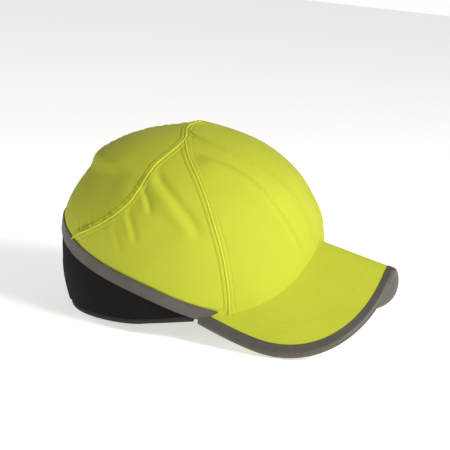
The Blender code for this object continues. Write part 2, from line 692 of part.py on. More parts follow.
slot_size = Matrix.Diagonal((4 * MM, 8 * MM, STRAP_WIDTH - 6 * MM, 1))
bmesh.ops.create_cube(slot_mesh, size=1, matrix=slot_place @ Matrix.Translation((0, tab_radius, 0)) @ slot_size)
slot_data = bpy.data.meshes.new("ring_slot")
slot_mesh.to_mesh(slot_data)
slot_mesh.free()
slot = add("ring_slot", slot_data, BUCKLE_PLASTIC, CUTTERS)
slot.hide_render = True
slot.display_type = "WIRE"
cut(ring, slot)

# ---- stand the cap on the floor, centred over its box -----------------------------------------------------------
bpy.context.view_layer.update()
depsgraph = bpy.context.evaluated_depsgraph_get()
corners = []
for piece in CAP.objects:
    if piece.type in {"MESH", "CURVE"}:
        evaluated = piece.evaluated_get(depsgraph)
        mesh = evaluated.to_mesh()
        corners += [evaluated.matrix_world @ v.co for v in mesh.vertices]
        evaluated.to_mesh_clear()
low = [min(p[i] for p in corners) for i in range(3)]
high = [max(p[i] for p in corners) for i in range(3)]
cap_frame.location = (-(low[0] + high[0]) / 2, -(low[1] + high[1]) / 2, -low[2])
bpy.context.view_layer.update()
print("cap_frame", [round(c, 5) for c in cap_frame.location], "size", [round(h - l, 4) for l, h in zip(low, high)])
strap_axis = cap_frame.matrix_world @ Vector((0, STRAP_CENTRE_Y, STRAP_CENTRE_HEIGHT))
print("strap axis through", [round(c, 5) for c in strap_axis])
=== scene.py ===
# %% [markdown]
# # A hi-vis bump cap
# A bump cap is two things in one: a soft baseball-style cover, and a hard vented shell that sits loose
# inside it. This notebook dresses the jointed model of such a cap. Each cloth panel is laid again as a
# fine grid on the same crown surface, then given the small things cloth does: it rolls at a seam,
# puckers along a row of stitches, drags into folds and prints the edge of the shell beneath it.

# %% Load the jointed model
import math

import bmesh
import bpy
import numpy as np
from mathutils import Matrix, Vector
from mathutils.bvhtree import BVHTree


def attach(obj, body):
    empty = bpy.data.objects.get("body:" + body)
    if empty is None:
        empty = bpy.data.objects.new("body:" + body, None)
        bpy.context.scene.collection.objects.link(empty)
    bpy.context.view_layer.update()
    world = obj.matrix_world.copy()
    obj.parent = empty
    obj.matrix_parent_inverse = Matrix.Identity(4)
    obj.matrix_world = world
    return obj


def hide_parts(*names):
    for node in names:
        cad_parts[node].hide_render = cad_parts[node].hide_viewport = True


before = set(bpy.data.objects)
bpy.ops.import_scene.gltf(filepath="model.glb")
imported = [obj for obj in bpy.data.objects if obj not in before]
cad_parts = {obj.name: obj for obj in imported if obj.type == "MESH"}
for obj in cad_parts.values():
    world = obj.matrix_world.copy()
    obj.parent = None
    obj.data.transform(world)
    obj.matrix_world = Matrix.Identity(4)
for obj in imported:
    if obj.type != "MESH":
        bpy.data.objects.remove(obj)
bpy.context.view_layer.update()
bpy.ops.object.select_all(action="DESELECT")

# %% [markdown]
# ## The cap's own frame
# The cap stands tipped by five degrees, on the sides of its visor and the back of its neck hem. Its
# shape is simplest in its own frame, with the apex on the Z axis and the neck hem level, so everything
# is laid out there and tipped only when its mesh is made.

# %% Sizes, in metres
MM = 0.001
CROWN_HEIGHT, WALL_HEIGHT = 0.1415, 0.045
CROWN_FRONT, CROWN_REAR, CROWN_HALF_WIDTH = 0.108, 0.104, 0.088
DOME_SHARE = 0.74
WALL_SHARE_LENGTH = WALL_HEIGHT / (1 - DOME_SHARE)
VISOR_TOP, VISOR_SLOPE, VISOR_ARCH, VISOR_ROUND = 0.057, 0.3, 0.95, 0.009
VISOR_REACH, VISOR_HALF_WIDTH, VISOR_CORNER = 0.060, 0.087, 0.084
SIDES = (("right", 1), ("left", -1))
TIP = Matrix.Translation((0, 0.02743, 0.00785)) @ Matrix.Rotation(math.radians(-4.97), 4, "X")
TURN, SHIFT = np.array(TIP.to_3x3()), np.array(TIP.translation)


def to_world(points):
    return points @ TURN.T + SHIFT


print("tipped frame at", SHIFT.round(4))

# %% [markdown]
# ## Seam lines and the crown
# Seams are easiest to draw on a flat chart of the crown: the apex in the middle, the front below it, and
# the distance from the apex as a share of the way down to the hem. A Catmull-Rom curve runs smoothly
# through a few chosen points. The crown itself is a superellipse dome on a short wall, a little
# different to the front, the side and the rear.


# %% Smooth lines on a chart of the crown
def through(points, s):
    points, s = np.asarray(points, float), np.atleast_1d(np.asarray(s, float))
    padded = np.vstack([2 * points[0] - points[1], points, 2 * points[-1] - points[-2]])
    x = np.clip(s, 0, 1) * (len(points) - 1)
    i = np.minimum(x.astype(int), len(points) - 2)
    f = (x - i)[:, None]
    a, b, c, d = (padded[i + k] for k in range(4))
    return 0.5 * (2 * b + (c - a) * f + (2 * a - 5 * b + 4 * c - d) * f ** 2
                  + (3 * b - a - 3 * c + d) * f ** 3)


def along(points, angle):
    a = np.abs((np.asarray(angle, float) + 180) % 360 - 180)
    fine = through(points, np.linspace(0, 1, 400))
    return np.interp(a, fine[:, 0], fine[:, 1])


def chart(angle, t):
    angle = np.radians(angle)
    return np.stack([-t * np.sin(angle), -t * np.cos(angle)], -1)


def seam(points, side=1, start=0.0, end=1.0):
    """The seam line as a function of a share from 0 to 1, on the chart."""
    places = np.array([chart(*p) for p in points])
    return lambda s: through(places, start + (end - start) * np.asarray(s)) * (side, 1)


CROSSOVER = [(0, 0.04), (70, 0.065), (76, 0.11), (75, 0.20), (84, 0.28), (94, 0.36), (98, 0.44),
             (104, 0.51), (114, 0.57), (126, 0.62), (143, 0.69)]
SIDE_SEAM = [(75, 0.20), (70, 0.31), (63, 0.43), (57.5, 0.58), (53.5, 0.72), (51.5, 0.86)]
FRONT_SEAM = [(60, 0.18), (44, 0.24), (29, 0.30), (20, 0.36), (13.5, 0.45), (9.5, 0.54), (7, 0.62)]
TAPE_EDGE = [(74, 0.87), (95, 0.80), (114, 0.745), (133, 0.69), (148, 0.645), (160, 0.615), (180, 0.595)]
NECK_HEM = [(51, 0.96), (71, 0.968), (90, 0.985), (110, 1.0), (180, 1.0)]
SHELL_EDGE = [(0, 0.60), (30, 0.66), (52, 0.68), (68, 0.57), (80, 0.47), (95, 0.385), (120, 0.355),
              (180, 0.35)]


# %% The crown's face
def profile(reach, fullness, tuck, t):
    turn = np.clip(t / DOME_SHARE, 0, 1) * math.pi / 2
    s, c = np.sin(turn), np.maximum(np.cos(turn), 0)
    size = (s ** fullness + c ** fullness) ** (1 / fullness)
    f = (t - DOME_SHARE) / (1 - DOME_SHARE)
    dome = t < DOME_SHARE
    return (np.where(dome, reach * s / size, reach - tuck * f * f),
            np.where(dome, WALL_HEIGHT + (CROWN_HEIGHT - WALL_HEIGHT) * c / size, WALL_HEIGHT * (1 - f)))


def crown_face(angle, t):
    angle, t = np.radians(angle), np.maximum(t, 1e-4)
    c, s = np.cos(angle), np.sin(angle)
    front, z_front = profile(CROWN_FRONT, 2.12, 2 * MM, t)
    rear, z_rear = profile(CROWN_REAR, 2.3, 8 * MM, t)
    width, z_width = profile(CROWN_HALF_WIDTH, 2.4, 3 * MM, t)
    length, z_length = np.where(c >= 0, front, rear), np.where(c >= 0, z_front, z_rear)
    r = 1 / np.sqrt((c / length) ** 2 + (s / width) ** 2)
    return np.stack([-r * s, -r * c, z_length * c * c + z_width * s * s], -1)


def unit(v):
    return v / np.maximum(np.linalg.norm(v, axis=-1, keepdims=True), 1e-12)


def crown_normal(angle, t):
    t = np.maximum(t, 0.01)
    down = crown_face(angle, t + 0.005) - crown_face(angle, t - 0.005)
    across = crown_face(angle + 1, t) - crown_face(angle - 1, t)
    n = unit(np.cross(down, across))
    out = (n * (crown_face(angle, t) - (0, 0, WALL_HEIGHT / 2))).sum(-1, keepdims=True)
    return np.where(out > 0, n, -n)


def polar(places):
    return np.degrees(np.arctan2(-places[..., 0], -places[..., 1])), np.hypot(places[..., 0], places[..., 1])


def on_crown(places, offset=0.0):
    angle, t = polar(places)
    return crown_face(angle, t) + crown_normal(angle, t) * np.asarray(offset)[..., None]


print("apex", crown_face(0, 0.0).round(4), "forehead", crown_face(0, 0.8).round(4))


# %% The visor's sheet and where it meets the crown
def visor_height(x, y):
    fall = np.sqrt(VISOR_ROUND ** 2 + (VISOR_ARCH * x) ** 2) - VISOR_ROUND
    return VISOR_TOP - VISOR_SLOPE * (-CROWN_FRONT - y) - fall


def junction(angle):
    low, high = np.full(np.shape(angle), 0.3), np.full(np.shape(angle), 1.0)
    for _ in range(30):
        middle = (low + high) / 2
        p = crown_face(angle, middle)
        above = p[..., 2] > visor_height(p[..., 0], p[..., 1])
        low, high = np.where(above, middle, low), np.where(above, high, middle)
    return low


VISOR_MIDDLE_Y = -(CROWN_FRONT + VISOR_REACH - VISOR_HALF_WIDTH)
VISOR_CORNER_Y = crown_face(53, junction(53))[1] + 19 * MM


def visor_outline(s):
    s = np.asarray(s, float)
    k = np.minimum(s, 1 - s)
    f = np.clip(k / 0.14, 0, 1)
    turn = np.clip((k - 0.14) / 0.36, 0, 1) * math.pi / 2
    power = 2 / 2.05
    straight = k < 0.14
    x = np.where(straight, VISOR_CORNER + (VISOR_HALF_WIDTH - VISOR_CORNER) * np.sin(f * math.pi / 2),
                 VISOR_HALF_WIDTH * np.maximum(np.cos(turn), 0) ** power)
    y = np.where(straight, VISOR_CORNER_Y + (VISOR_MIDDLE_Y - VISOR_CORNER_Y) * f,
                 VISOR_MIDDLE_Y - VISOR_HALF_WIDTH * np.sin(turn) ** power)
    return np.stack([np.where(s < 0.5, -x, x), y], -1)


def inside_outline(s, distance):
    a, b = visor_outline(np.maximum(s - 0.004, 0)), visor_outline(np.minimum(s + 0.004, 1))
    tangent = unit(b - a)
    inward = np.stack([-tangent[..., 1], tangent[..., 0]], -1)
    return visor_outline(s) + inward * np.asarray(distance)[..., None]


def visor_sheet(flat, offset=0.0):
    x, y = flat[..., 0], flat[..., 1]
    e = 0.5 * MM
    n = unit(np.stack([(visor_height(x - e, y) - visor_height(x + e, y)) / (2 * e),
                       (visor_height(x, y - e) - visor_height(x, y + e)) / (2 * e), np.ones_like(x)], -1))
    return np.stack([x, y, visor_height(x, y)], -1) + n * np.asarray(offset)[..., None]


print("visor's rear corner at", visor_sheet(visor_outline(np.array([0.0])))[0].round(4))

# %% [markdown]
# ## Finishes
# Cloth is never one flat colour. Each finish here is a small tree of nodes: a large soft noise shifts the
# colour a little, a fine pattern makes the yarns, and the same pattern bumps the surface. The yarns
# follow each piece's own UV map, which is laid in metres, so a thread is the same size on every piece.


# %% A helper for woven finishes
def finish(name, colour, roughness, spread=0.06, grain=900.0, weave=0.0, bump=0.25, twill=False,
           metallic=0.0, sheen=0.0, coat=0.0, blotch=18.0, gloss=0.5):
    made = bpy.data.materials.new(name)
    made.use_nodes = True
    nodes, links = made.node_tree.nodes, made.node_tree.links
    shader = nodes["Principled BSDF"]
    shader.inputs["Roughness"].default_value = roughness
    shader.inputs["Metallic"].default_value = metallic
    shader.inputs["Sheen Weight"].default_value = sheen
    shader.inputs["Sheen Roughness"].default_value = 0.5
    shader.inputs["Specular IOR Level"].default_value = gloss
    shader.inputs["Coat Weight"].default_value = coat

    def node(kind, **values):
        new = nodes.new("ShaderNode" + kind)
        for socket, value in values.items():
            new.inputs[socket.replace("_", " ")].default_value = value
        return new

    place = node("TexCoord")
    cloud = node("TexNoise", Scale=blotch, Detail=5)
    links.new(place.outputs["Object"], cloud.inputs["Vector"])
    ramp = node("ValToRGB")
    low, high = ramp.color_ramp.elements
    low.position, high.position = 0.3, 0.7
    low.color = (*[c * (1 - spread) for c in colour], 1)
    high.color = (*[min(c * (1 + spread), 1) for c in colour], 1)
    links.new(cloud.outputs["Fac"], ramp.inputs["Fac"])
    fine = node("TexNoise", Scale=grain, Detail=2)
    links.new(place.outputs["Object"], fine.inputs["Vector"])
    height = fine.outputs["Fac"]
    if weave:
        join, add = node("Math"), node("Math")
        for k, turn in enumerate((math.pi / 4, 0) if twill else (0, math.pi / 2)):
            mapping = node("Mapping", Rotation=(0, 0, turn))
            wave = node("TexWave", Scale=weave, Distortion=0.6, Detail=1)
            links.new(place.outputs["UV"], mapping.inputs["Vector"])
            links.new(mapping.outputs["Vector"], wave.inputs["Vector"])
            links.new(wave.outputs["Fac"], join.inputs[k])
        join.operation, add.operation = "MULTIPLY", "MULTIPLY_ADD"
        add.inputs[1].default_value = 0.4
        links.new(fine.outputs["Fac"], add.inputs[0])
        links.new(join.outputs["Value"], add.inputs[2])
        height = add.outputs["Value"]
    shade = node("MapRange", To_Min=1 - spread, To_Max=1 + spread * 0.5)
    links.new(height, shade.inputs["Value"])
    tint = node("VectorMath")
    tint.operation = "SCALE"
    links.new(ramp.outputs["Color"], tint.inputs[0])
    links.new(shade.outputs["Result"], tint.inputs["Scale"])
    links.new(tint.outputs["Vector"], shader.inputs["Base Color"])
    relief = node("Bump", Strength=bump, Distance=0.0002)
    links.new(height, relief.inputs["Height"])
    links.new(relief.outputs["Normal"], shader.inputs["Normal"])
    return made


YELLOW = finish("hi_vis_twill", (0.53, 0.585, 0.036), 0.82, 0.035, 1400, 620, 0.22, twill=True, sheen=0.06,
                gloss=0.35)
PIPING = finish("piping_cloth", (0.62, 0.68, 0.05), 0.85, 0.04, 1400, 700, 0.2, sheen=0.05, gloss=0.25)
# The thread is yellow, but its colour is darkened to olive: painted shade for the dips along each row of
# stitches.
THREAD_WITH_PAINTED_SHADE = finish("yellow_thread_painted_shade", (0.30, 0.34, 0.02), 0.6, 0.08, 3000, bump=0.4)
UNDERSIDE = finish("visor_underside_cloth", (0.55, 0.64, 0.03), 0.85, 0.05, 1200, 560, 0.3, sheen=0.1)
REFLECTIVE = finish("retroreflective_tape", (0.11, 0.10, 0.092), 0.5, 0.10, 2600, 1100, 0.18,
                    metallic=0.25, blotch=60)
GREY_THREAD = finish("grey_thread", (0.11, 0.105, 0.10), 0.6, 0.1, 3000)
PALE_THREAD = finish("pale_thread", (0.34, 0.34, 0.32), 0.6, 0.1, 3000)
MESH_CLOTH = finish("black_spacer_mesh", (0.009, 0.007, 0.008), 0.9, 0.3, 1500, 420, 0.8, twill=True,
                    gloss=0.2)
BLACK_BINDING = finish("black_binding_tape", (0.016, 0.014, 0.016), 0.8, 0.2, 2000, 800, 0.5)
WEBBING = finish("black_webbing", (0.018, 0.018, 0.019), 0.7, 0.25, 1500, 380, 0.9)
TOWELLING = finish("towelling", (0.022, 0.022, 0.024), 0.95, 0.4, 1300, bump=1.0, sheen=0.3)
SEAM_CLOTH = finish("seam_tape_cloth", (0.03, 0.03, 0.033), 0.85, 0.15, 1500, 650, 0.4, twill=True)
FOAM = finish("grey_foam", (0.13, 0.13, 0.14), 0.95, 0.2, 1100, bump=0.9, blotch=90)
SHELL_PLASTIC = finish("shell_plastic", (0.018, 0.018, 0.020), 0.38, 0.15, 2600, bump=0.12, coat=0.1)
BOARD_PLASTIC = finish("visor_board_plastic", (0.72, 0.72, 0.69), 0.5, 0.03, 1200, bump=0.1)
BUCKLE_PLASTIC = finish("buckle_plastic", (0.016, 0.016, 0.017), 0.4, 0.15, 2200, bump=0.1)
print(len(bpy.data.materials), "finishes")

# %% [markdown]
# ## A sheet of cloth
# Cloth on a cap is a shaped sheet, so a panel is made as a grid of places on its outer face. The grid
# gets its UV map in metres, and Solidify gives it its thickness towards the inside. The alternative, a
# primitive pushed into shape, can't follow seams that curve over a dome.


# %% Grids, thickness and riding
def keep(obj, body, replaces=()):
    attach(obj, body)
    if replaces:
        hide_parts(*replaces)
    return obj


def add(name, mesh, material):
    obj = bpy.data.objects.new(name, mesh)
    bpy.context.scene.collection.objects.link(obj)
    mesh.materials.append(material)
    return obj


def mend(mesh, distance, sides=0):
    """Welds places that meet, closes ends of up to so many sides and turns the faces outward."""
    work = bmesh.new()
    work.from_mesh(mesh)
    bmesh.ops.remove_doubles(work, verts=work.verts, dist=distance)
    if sides:
        bmesh.ops.holes_fill(work, edges=[e for e in work.edges if e.is_boundary], sides=sides)
    bmesh.ops.recalc_face_normals(work, faces=work.faces)
    work.to_mesh(mesh)
    work.free()


def apply_all(obj):
    bpy.ops.object.select_all(action="DESELECT")
    bpy.context.view_layer.objects.active = obj
    obj.select_set(True)
    for modifier in list(obj.modifiers):
        bpy.ops.object.modifier_apply(modifier=modifier.name)
    obj.select_set(False)


def grid_mesh(name, P, ring=False):
    """A mesh from rows of places (columns x rows x 3) in the cap's frame; ring closes the columns."""
    nu, nv = P.shape[:2]
    world = to_world(P.reshape(-1, 3))
    index = np.arange(nu * nv).reshape(nu, nv)
    if ring:
        index = np.vstack([index, index[:1]])
    quads = np.stack([index[:-1, :-1], index[1:, :-1], index[1:, 1:], index[:-1, 1:]], -1).reshape(-1, 4)
    mesh = bpy.data.meshes.new(name)
    mesh.from_pydata(world.tolist(), [], quads.tolist())
    steps_u = np.linalg.norm(np.diff(P, axis=0), axis=-1).mean(1)
    steps_v = np.linalg.norm(np.diff(P, axis=1), axis=-1).mean(0)
    u, v = np.r_[0, np.cumsum(steps_u)], np.r_[0, np.cumsum(steps_v)]
    if ring:
        u = np.r_[u, u[-1] + steps_u[-1]]
    i, j = np.meshgrid(np.arange(len(u) - 1), np.arange(nv - 1), indexing="ij")
    corners = np.stack([np.stack([u[i + a], v[j + b]], -1) for a, b in ((0, 0), (1, 0), (1, 1), (0, 1))], -2)
    mesh.uv_layers.new(name="UVMap").data.foreach_set("uv", corners.reshape(-1).astype(np.float32))
    mesh.shade_smooth()
    return mesh


def area_of(P):
    a, b = P[1:, :-1] - P[:-1, :-1], P[:-1, 1:] - P[:-1, :-1]
    return float(np.linalg.norm(np.cross(a, b), axis=-1).sum())


def outward(P, core=(0, 0, WALL_HEIGHT)):
    """The grid with its columns reversed if its faces look inward."""
    a, b = P[1:, :-1] - P[:-1, :-1], P[:-1, 1:] - P[:-1, :-1]
    looks = (np.cross(a, b) * (P[:-1, :-1] - core)).sum()
    return P if looks > 0 else P[::-1]


def cloth(name, P, thickness, material, replaces=(), body="cover", turn=True,
          core=(0, 0, WALL_HEIGHT)):
    P = outward(P, core) if turn else P
    obj = add(name, grid_mesh(name, P), material)
    solid = obj.modifiers.new("thickness", "SOLIDIFY")
    solid.thickness, solid.offset, solid.use_even_offset = thickness, -1, False
    apply_all(obj)
    keep(obj, body, replaces)
    width = float(np.linalg.norm(np.diff(P, axis=0), axis=-1).sum(0).max())
    length = float(np.linalg.norm(np.diff(P, axis=1), axis=-1).sum(1).max())
    area = min(max(area_of(P), 0.301 * width * length), width * length)
    print(name, f"{width * 1000:.0f} x {length * 1000:.0f} mm, {len(obj.data.polygons)} faces")
    return obj


# %% [markdown]
# ## What the cloth does between its seams
# The cover is pulled over the shell. It sinks where it spans the gap beside a moulded rib, drags into a
# few folds below the cross-over seam, and shows the shell's rear edge as a change of slope. Each of these
# is a line on the chart with a depth and a width. A sum of them is easier to place than a simulation, and
# it comes out the same each time.


# %% Folds, ribs and the edge of the shell
def near(P, line):
    """Distance from each place to a line of places, which side it is on, and the share along it."""
    flat = P.reshape(-1, 3)
    best = np.full(len(flat), 1e9)
    share, offset = np.zeros(len(flat)), np.zeros((len(flat), 3))
    tangent = np.zeros((len(flat), 3))
    for k in range(len(line) - 1):
        a, ab = line[k], line[k + 1] - line[k]
        f = np.clip(((flat - a) @ ab) / max(ab @ ab, 1e-12), 0, 1)
        gap = flat - a - f[:, None] * ab
        d = np.linalg.norm(gap, axis=1)
        closer = d < best
        best = np.where(closer, d, best)
        share = np.where(closer, (k + f) / (len(line) - 1), share)
        offset[closer], tangent[closer] = gap[closer], ab
    return best.reshape(P.shape[:-1]), offset.reshape(P.shape), unit(tangent).reshape(P.shape), \
        share.reshape(P.shape[:-1])


def step(low, high, x):
    f = np.clip((x - low) / (high - low), 0, 1)
    return f * f * (3 - 2 * f)


def bell(x, width):
    return np.exp(-(x / width) ** 2)


FOLDS = [  # places on the chart, depth, width, height and width of the ridge on the front side
    ([(93, 0.37), (86, 0.425), (77, 0.49), (68, 0.57), (63, 0.63)], 2.4, 3.8, 2.0, 6.5),
    ([(97, 0.44), (93, 0.48), (89, 0.55)], 1.9, 2.8, 0.8, 4.5),
    ([(104, 0.53), (100, 0.58), (96, 0.66)], 1.4, 2.8, 0.6, 4.5),
    ([(112, 0.58), (108, 0.63), (105, 0.69)], 0.9, 2.6, 0.4, 4.0),
    ([(62, 0.27), (48, 0.32), (34, 0.39), (26, 0.49), (20.5, 0.59), (16.5, 0.66), (11, 0.76)],
     2.4, 4.2, 3.4, 9.0),
]
FOLD_LINES = [on_crown(seam(points)(np.linspace(0, 1, 24))) for points, *_ in FOLDS]


def peak(P):
    """The little cone of cloth where all the panels meet, a little ahead of the crown's highest place."""
    return 4.3 * np.exp(-(np.hypot(P[..., 1] + 9 * MM, 0.6 * P[..., 0]) / (16 * MM)) ** 1.3)


def relief(P, N, angle, t):
    """How far the cloth stands off the smooth crown, in metres."""
    mirrored = P * np.where(P[..., :1] > 0, (-1, 1, 1), (1, 1, 1))
    normal = N * np.where(P[..., :1] > 0, (-1, 1, 1), (1, 1, 1))
    rise = np.zeros(P.shape[:-1])
    for line, (_, depth, width, ridge, ridge_width) in zip(FOLD_LINES, FOLDS):
        d, gap, tangent, share = near(mirrored, line)
        side = (np.cross(tangent, normal) * gap).sum(-1)
        ends = step(0, 0.16, share) * step(0, 0.3, 1 - share)
        d, side = d / MM, side / MM
        rise += ends * (ridge * bell(side - 1.6 * width, ridge_width) * (d < 30)
                        * bell(d - np.abs(side), 4) - depth * bell(d, width))
    a = np.abs(angle)
    below = (t - along(SHELL_EDGE, angle)) * 165
    rear = step(106, 126, a)
    rise += rear * (1.5 * bell(below + 1, 7) - 3.2 * step(0, 10, below) * (1 - step(14, 44, below)))
    rise += 0.16 * np.sin(P[..., 2] * 170 + 3 * np.sin(P[..., 1] * 60)) * step(0.15, 0.3, t)
    rise += peak(P)
    return rise * MM


print(len(FOLDS), "folds on each side")

# %% [markdown]
# ## What the cloth does at a seam
# A seam holds two panels and, on this cap, often a thin covered cord called piping. The allowances
# inside lift the cloth for four millimetres on each side, up to a row of topstitching that pulls it
# down again, and the thread's tension puckers it. Where a longer edge was eased onto a shorter one, the
# cloth gathers in little pleats: here on the rear side of the cross-over seam and at the rear centre.


# %% The profile of a seam, by distance from it
def wander(s, seed, count):
    waves = (np.sin(2 * math.pi * (count * k * s + seed * (0.37 + k * 1.7))) / k for k in (1, 1.31, 2.13))
    return sum(waves) / 1.8


def seam_rise(kind, d, share, seed):
    """Height in millimetres at d millimetres from a seam, with share along it from 0 to 1."""
    if kind == "piped":
        row = 4.2
        rise = 0.38 * (1 - step(row - 0.8, row + 1.0, d)) - 1.2 * bell(d, 0.8) - 0.35 * bell(d - row, 0.5)
        return rise + 0.10 * wander(share, seed, 20) * bell(d - row, 2.2)
    if kind == "gathered":
        row = 4.2
        rise = 0.45 * (1 - step(row - 0.8, row + 1.0, d)) - 1.2 * bell(d, 0.8) - 0.40 * bell(d - row, 0.5)
        amount = 0.3 + 1.1 * step(0.5, 0.72, share)
        pleats = np.sin(2 * math.pi * (31 * share + 0.35 * wander(share, seed, 6)))
        fade = bell(d - 2.1, 2.3) + 0.35 * bell(d - 7, 3.5)
        return rise + amount * 0.5 * pleats * step(0.3, 1.2, d) * fade
    if kind == "plain":
        row = 3.0
        rise = 0.30 * (1 - step(row - 0.6, row + 0.9, d)) - 0.95 * bell(d, 0.6) - 0.28 * bell(d - row, 0.45)
        return rise + 0.07 * wander(share, seed, 22) * bell(d - row, 2.0)
    if kind == "rear":
        row = 4.6
        rise = 0.40 * (1 - step(row - 0.8, row + 1.0, d)) - 1.0 * bell(d, 0.7) - 0.40 * bell(d - row, 0.5)
        pleats = np.sin(2 * math.pi * (25 * share + 0.5 * wander(share, seed, 5)))
        fade = bell(d - 2.4, 2.4) + 0.3 * bell(d - 7, 3)
        return rise + 0.38 * pleats * (1 - step(0.45, 0.75, share)) * fade
    if kind == "tape":
        return -0.35 * (1 - step(4.5, 6.5, d))
    return -0.9 * bell(d, 1.1)


def spread(length, zone=7.0, fine=0.42, coarse=1.5):
    """Shares from 0 to 1 that are close together near both ends, for a length in millimetres."""
    zone = min(zone, length * 0.35)
    edge = np.arange(0, zone, fine) / length
    middle = np.linspace(zone / length, 1 - zone / length, max(int((length - 2 * zone) / coarse), 4))
    return np.unique(np.r_[edge, middle, 1 - edge].round(6))


def coons(left, right, top, bottom, nu, nv):
    u, v = spread(nu)[:, None, None], spread(nv)[None, :, None]
    l, r = left(v.ravel())[None], right(v.ravel())[None]
    t, b = top(u.ravel())[:, None], bottom(u.ravel())[:, None]
    edge = l * (1 - u) + r * u + t * (1 - v) + b * v
    corner = (t[:1] * (1 - u) + t[-1:] * u) * (1 - v) + (b[:1] * (1 - u) + b[-1:] * u) * v
    return edge - corner


OUTER = []      # the outer faces of all panels, to lay stitches on


def panel(name, patch, kinds, lift=0.0):
    """A panel of the crown between four seams: left, right, top and bottom, each of a kind."""
    angle, t = polar(patch)
    P, N = crown_face(angle, t), crown_normal(angle, t)
    rise = relief(P, N, angle, t)
    edges = (P[0], P[-1], P[:, 0], P[:, -1])
    for seed, (kind, edge) in enumerate(zip(kinds, edges)):
        d, _, _, share = near(P, edge[::2] if len(edge) > 40 else edge)
        if kind == "tape":
            rise *= step(2.0, 12.0, d / MM)
        rise = rise + seam_rise(kind, d / MM, share, seed + 0.3) * MM
    P = outward(P + N * (rise + lift)[..., None])
    OUTER.append(P)
    return cloth(name, P, 0.9 * MM, YELLOW, [name])


# %% [markdown]
# ## The seven yellow panels
# A Coons patch fills the space between four lines, so each panel is named by its seams. Neighbours share
# a seam line exactly and both dive under it, which is how a real seam closes with no slit.

# %% Lines shared by the panels
FOOT = float(junction(51))
FRONT_FOOT = float(junction(5.5))
TAPE_LINE = [(51, FOOT)] + TAPE_EDGE


def tape_edge(angle):
    return along(TAPE_LINE, angle)


def panel_edge(angle):
    a = np.abs((np.asarray(angle, float) + 180) % 360 - 180)
    return tape_edge(angle) + np.clip((a - 51) / 15, 0, 1) * 5 * MM / WALL_SHARE_LENGTH


def edge_line(share, start, end, side, more=0.0):
    def line(s):
        angle = start + (end - start) * np.asarray(s, float)
        return chart(angle, share(angle) + more) * (side, 1)
    return line


def straight(a, b):
    return lambda s: a + (b - a) * np.asarray(s, float)[:, None]


junction_of_crossover = seam(CROSSOVER)(0.21)[0]
fs_top = (math.degrees(math.atan2(-junction_of_crossover[0], -junction_of_crossover[1])),
          float(np.hypot(*junction_of_crossover)))
FRONT_LINE = [fs_top] + FRONT_SEAM + [(5.5, FRONT_FOOT + 0.012)]
SIDE_LINE = SIDE_SEAM + [(51, FOOT + 0.012)]


def over_the_top(s):
    s = np.asarray(s, float)
    p = seam(CROSSOVER, 1, 0, 0.21)(np.abs(2 * s - 1))
    return np.where((s > 0.5)[:, None], p, p * (-1, 1))


# %% The panels
UNDER = 0.012        # how far the front panels run on behind the visor, as a share of the meridian
crown_panels = [panel("front_centre_panel",
                      coons(seam(FRONT_LINE, -1), seam(FRONT_LINE, 1), over_the_top,
                            edge_line(junction, -5.5, 5.5, 1, UNDER), 68, 110),
                      ("plain", "plain", "piped", "visor"))]
for label, side in SIDES:
    crown_panels.append(panel(f"front_side_panel_{label}",
                              coons(seam(FRONT_LINE, side), seam(SIDE_LINE, side),
                                    seam(CROSSOVER, side, 0.21, 0.3),
                                    edge_line(junction, 5.5, 51, side, UNDER), 92, 135),
                              ("plain", "piped", "piped", "visor")))
    crown_panels.append(panel(f"side_panel_{label}",
                              coons(seam(SIDE_LINE, side), seam(CROSSOVER, side, 0.955, 1.0),
                                    seam(CROSSOVER, side, 0.3, 0.955),
                                    edge_line(panel_edge, 51, 143, side), 140, 120),
                              ("piped", "piped", "piped", "tape")))
    crown_panels.append(panel(f"rear_panel_{label}",
                              coons(straight(chart(0, 0.04), chart(180, panel_edge(180))),
                                    seam(CROSSOVER, side, 0.955, 1.0), seam(CROSSOVER, side, 0, 0.955),
                                    edge_line(panel_edge, 180, 143, side), 150, 105),
                              ("rear", "gathered", "gathered", "tape")))

# %% [markdown]
# ## Piping
# Piping is a thin cord wrapped in a bias strip and caught in the seam, so all that shows is a smooth
# half-round bead. A ring of places is swept along the seam line and closed at both ends.


# %% Beads along a line
def bead(name, line, up, radius, material, replaces=(), body="cover", sides=10, flat=1.0):
    tangent = unit(np.gradient(line, axis=0))
    across = unit(np.cross(tangent, up))
    up = unit(np.cross(across, tangent))
    turn = np.linspace(0, 2 * math.pi, sides, endpoint=False)
    size = np.full(len(line), radius)
    size[[0, -1]] *= 0.45
    P = (line[None] + across[None] * (np.cos(turn)[:, None, None] * size[None, :, None])
         + up[None] * (np.sin(turn)[:, None, None] * size[None, :, None] * flat))
    mesh = grid_mesh(name, P, ring=True)
    mend(mesh, 1e-7, sides)
    obj = add(name, mesh, material)
    print(name, len(mesh.polygons), "faces")
    return keep(obj, body, replaces)


def crown_line(places, offset):
    """Places on a line over the relief of the cloth, and which way is out."""
    angle, t = polar(places)
    P, N = crown_face(angle, t), crown_normal(angle, t)
    rise = relief(P, N, angle, t) * step(2, 12, (panel_edge(angle) - t) * WALL_SHARE_LENGTH / MM)
    return P + N * (rise + offset)[..., None], N


both = np.vstack([seam(CROSSOVER, -1)(np.linspace(1, 0, 150)), seam(CROSSOVER)(np.linspace(0, 1, 150))[1:]])
P, N = crown_line(both, 0.0)
bead("crossover_piping", P + N * 0.05 * MM, N, 1.0 * MM, PIPING, ["crossover_piping"])
for label, side in SIDES:
    P, N = crown_line(seam(SIDE_LINE, side, 0.005, 0.985)(np.linspace(0, 1, 130)), 0.05 * MM)
    bead(f"side_piping_{label}", P, N, 0.95 * MM, PIPING, [f"side_piping_{label}"])
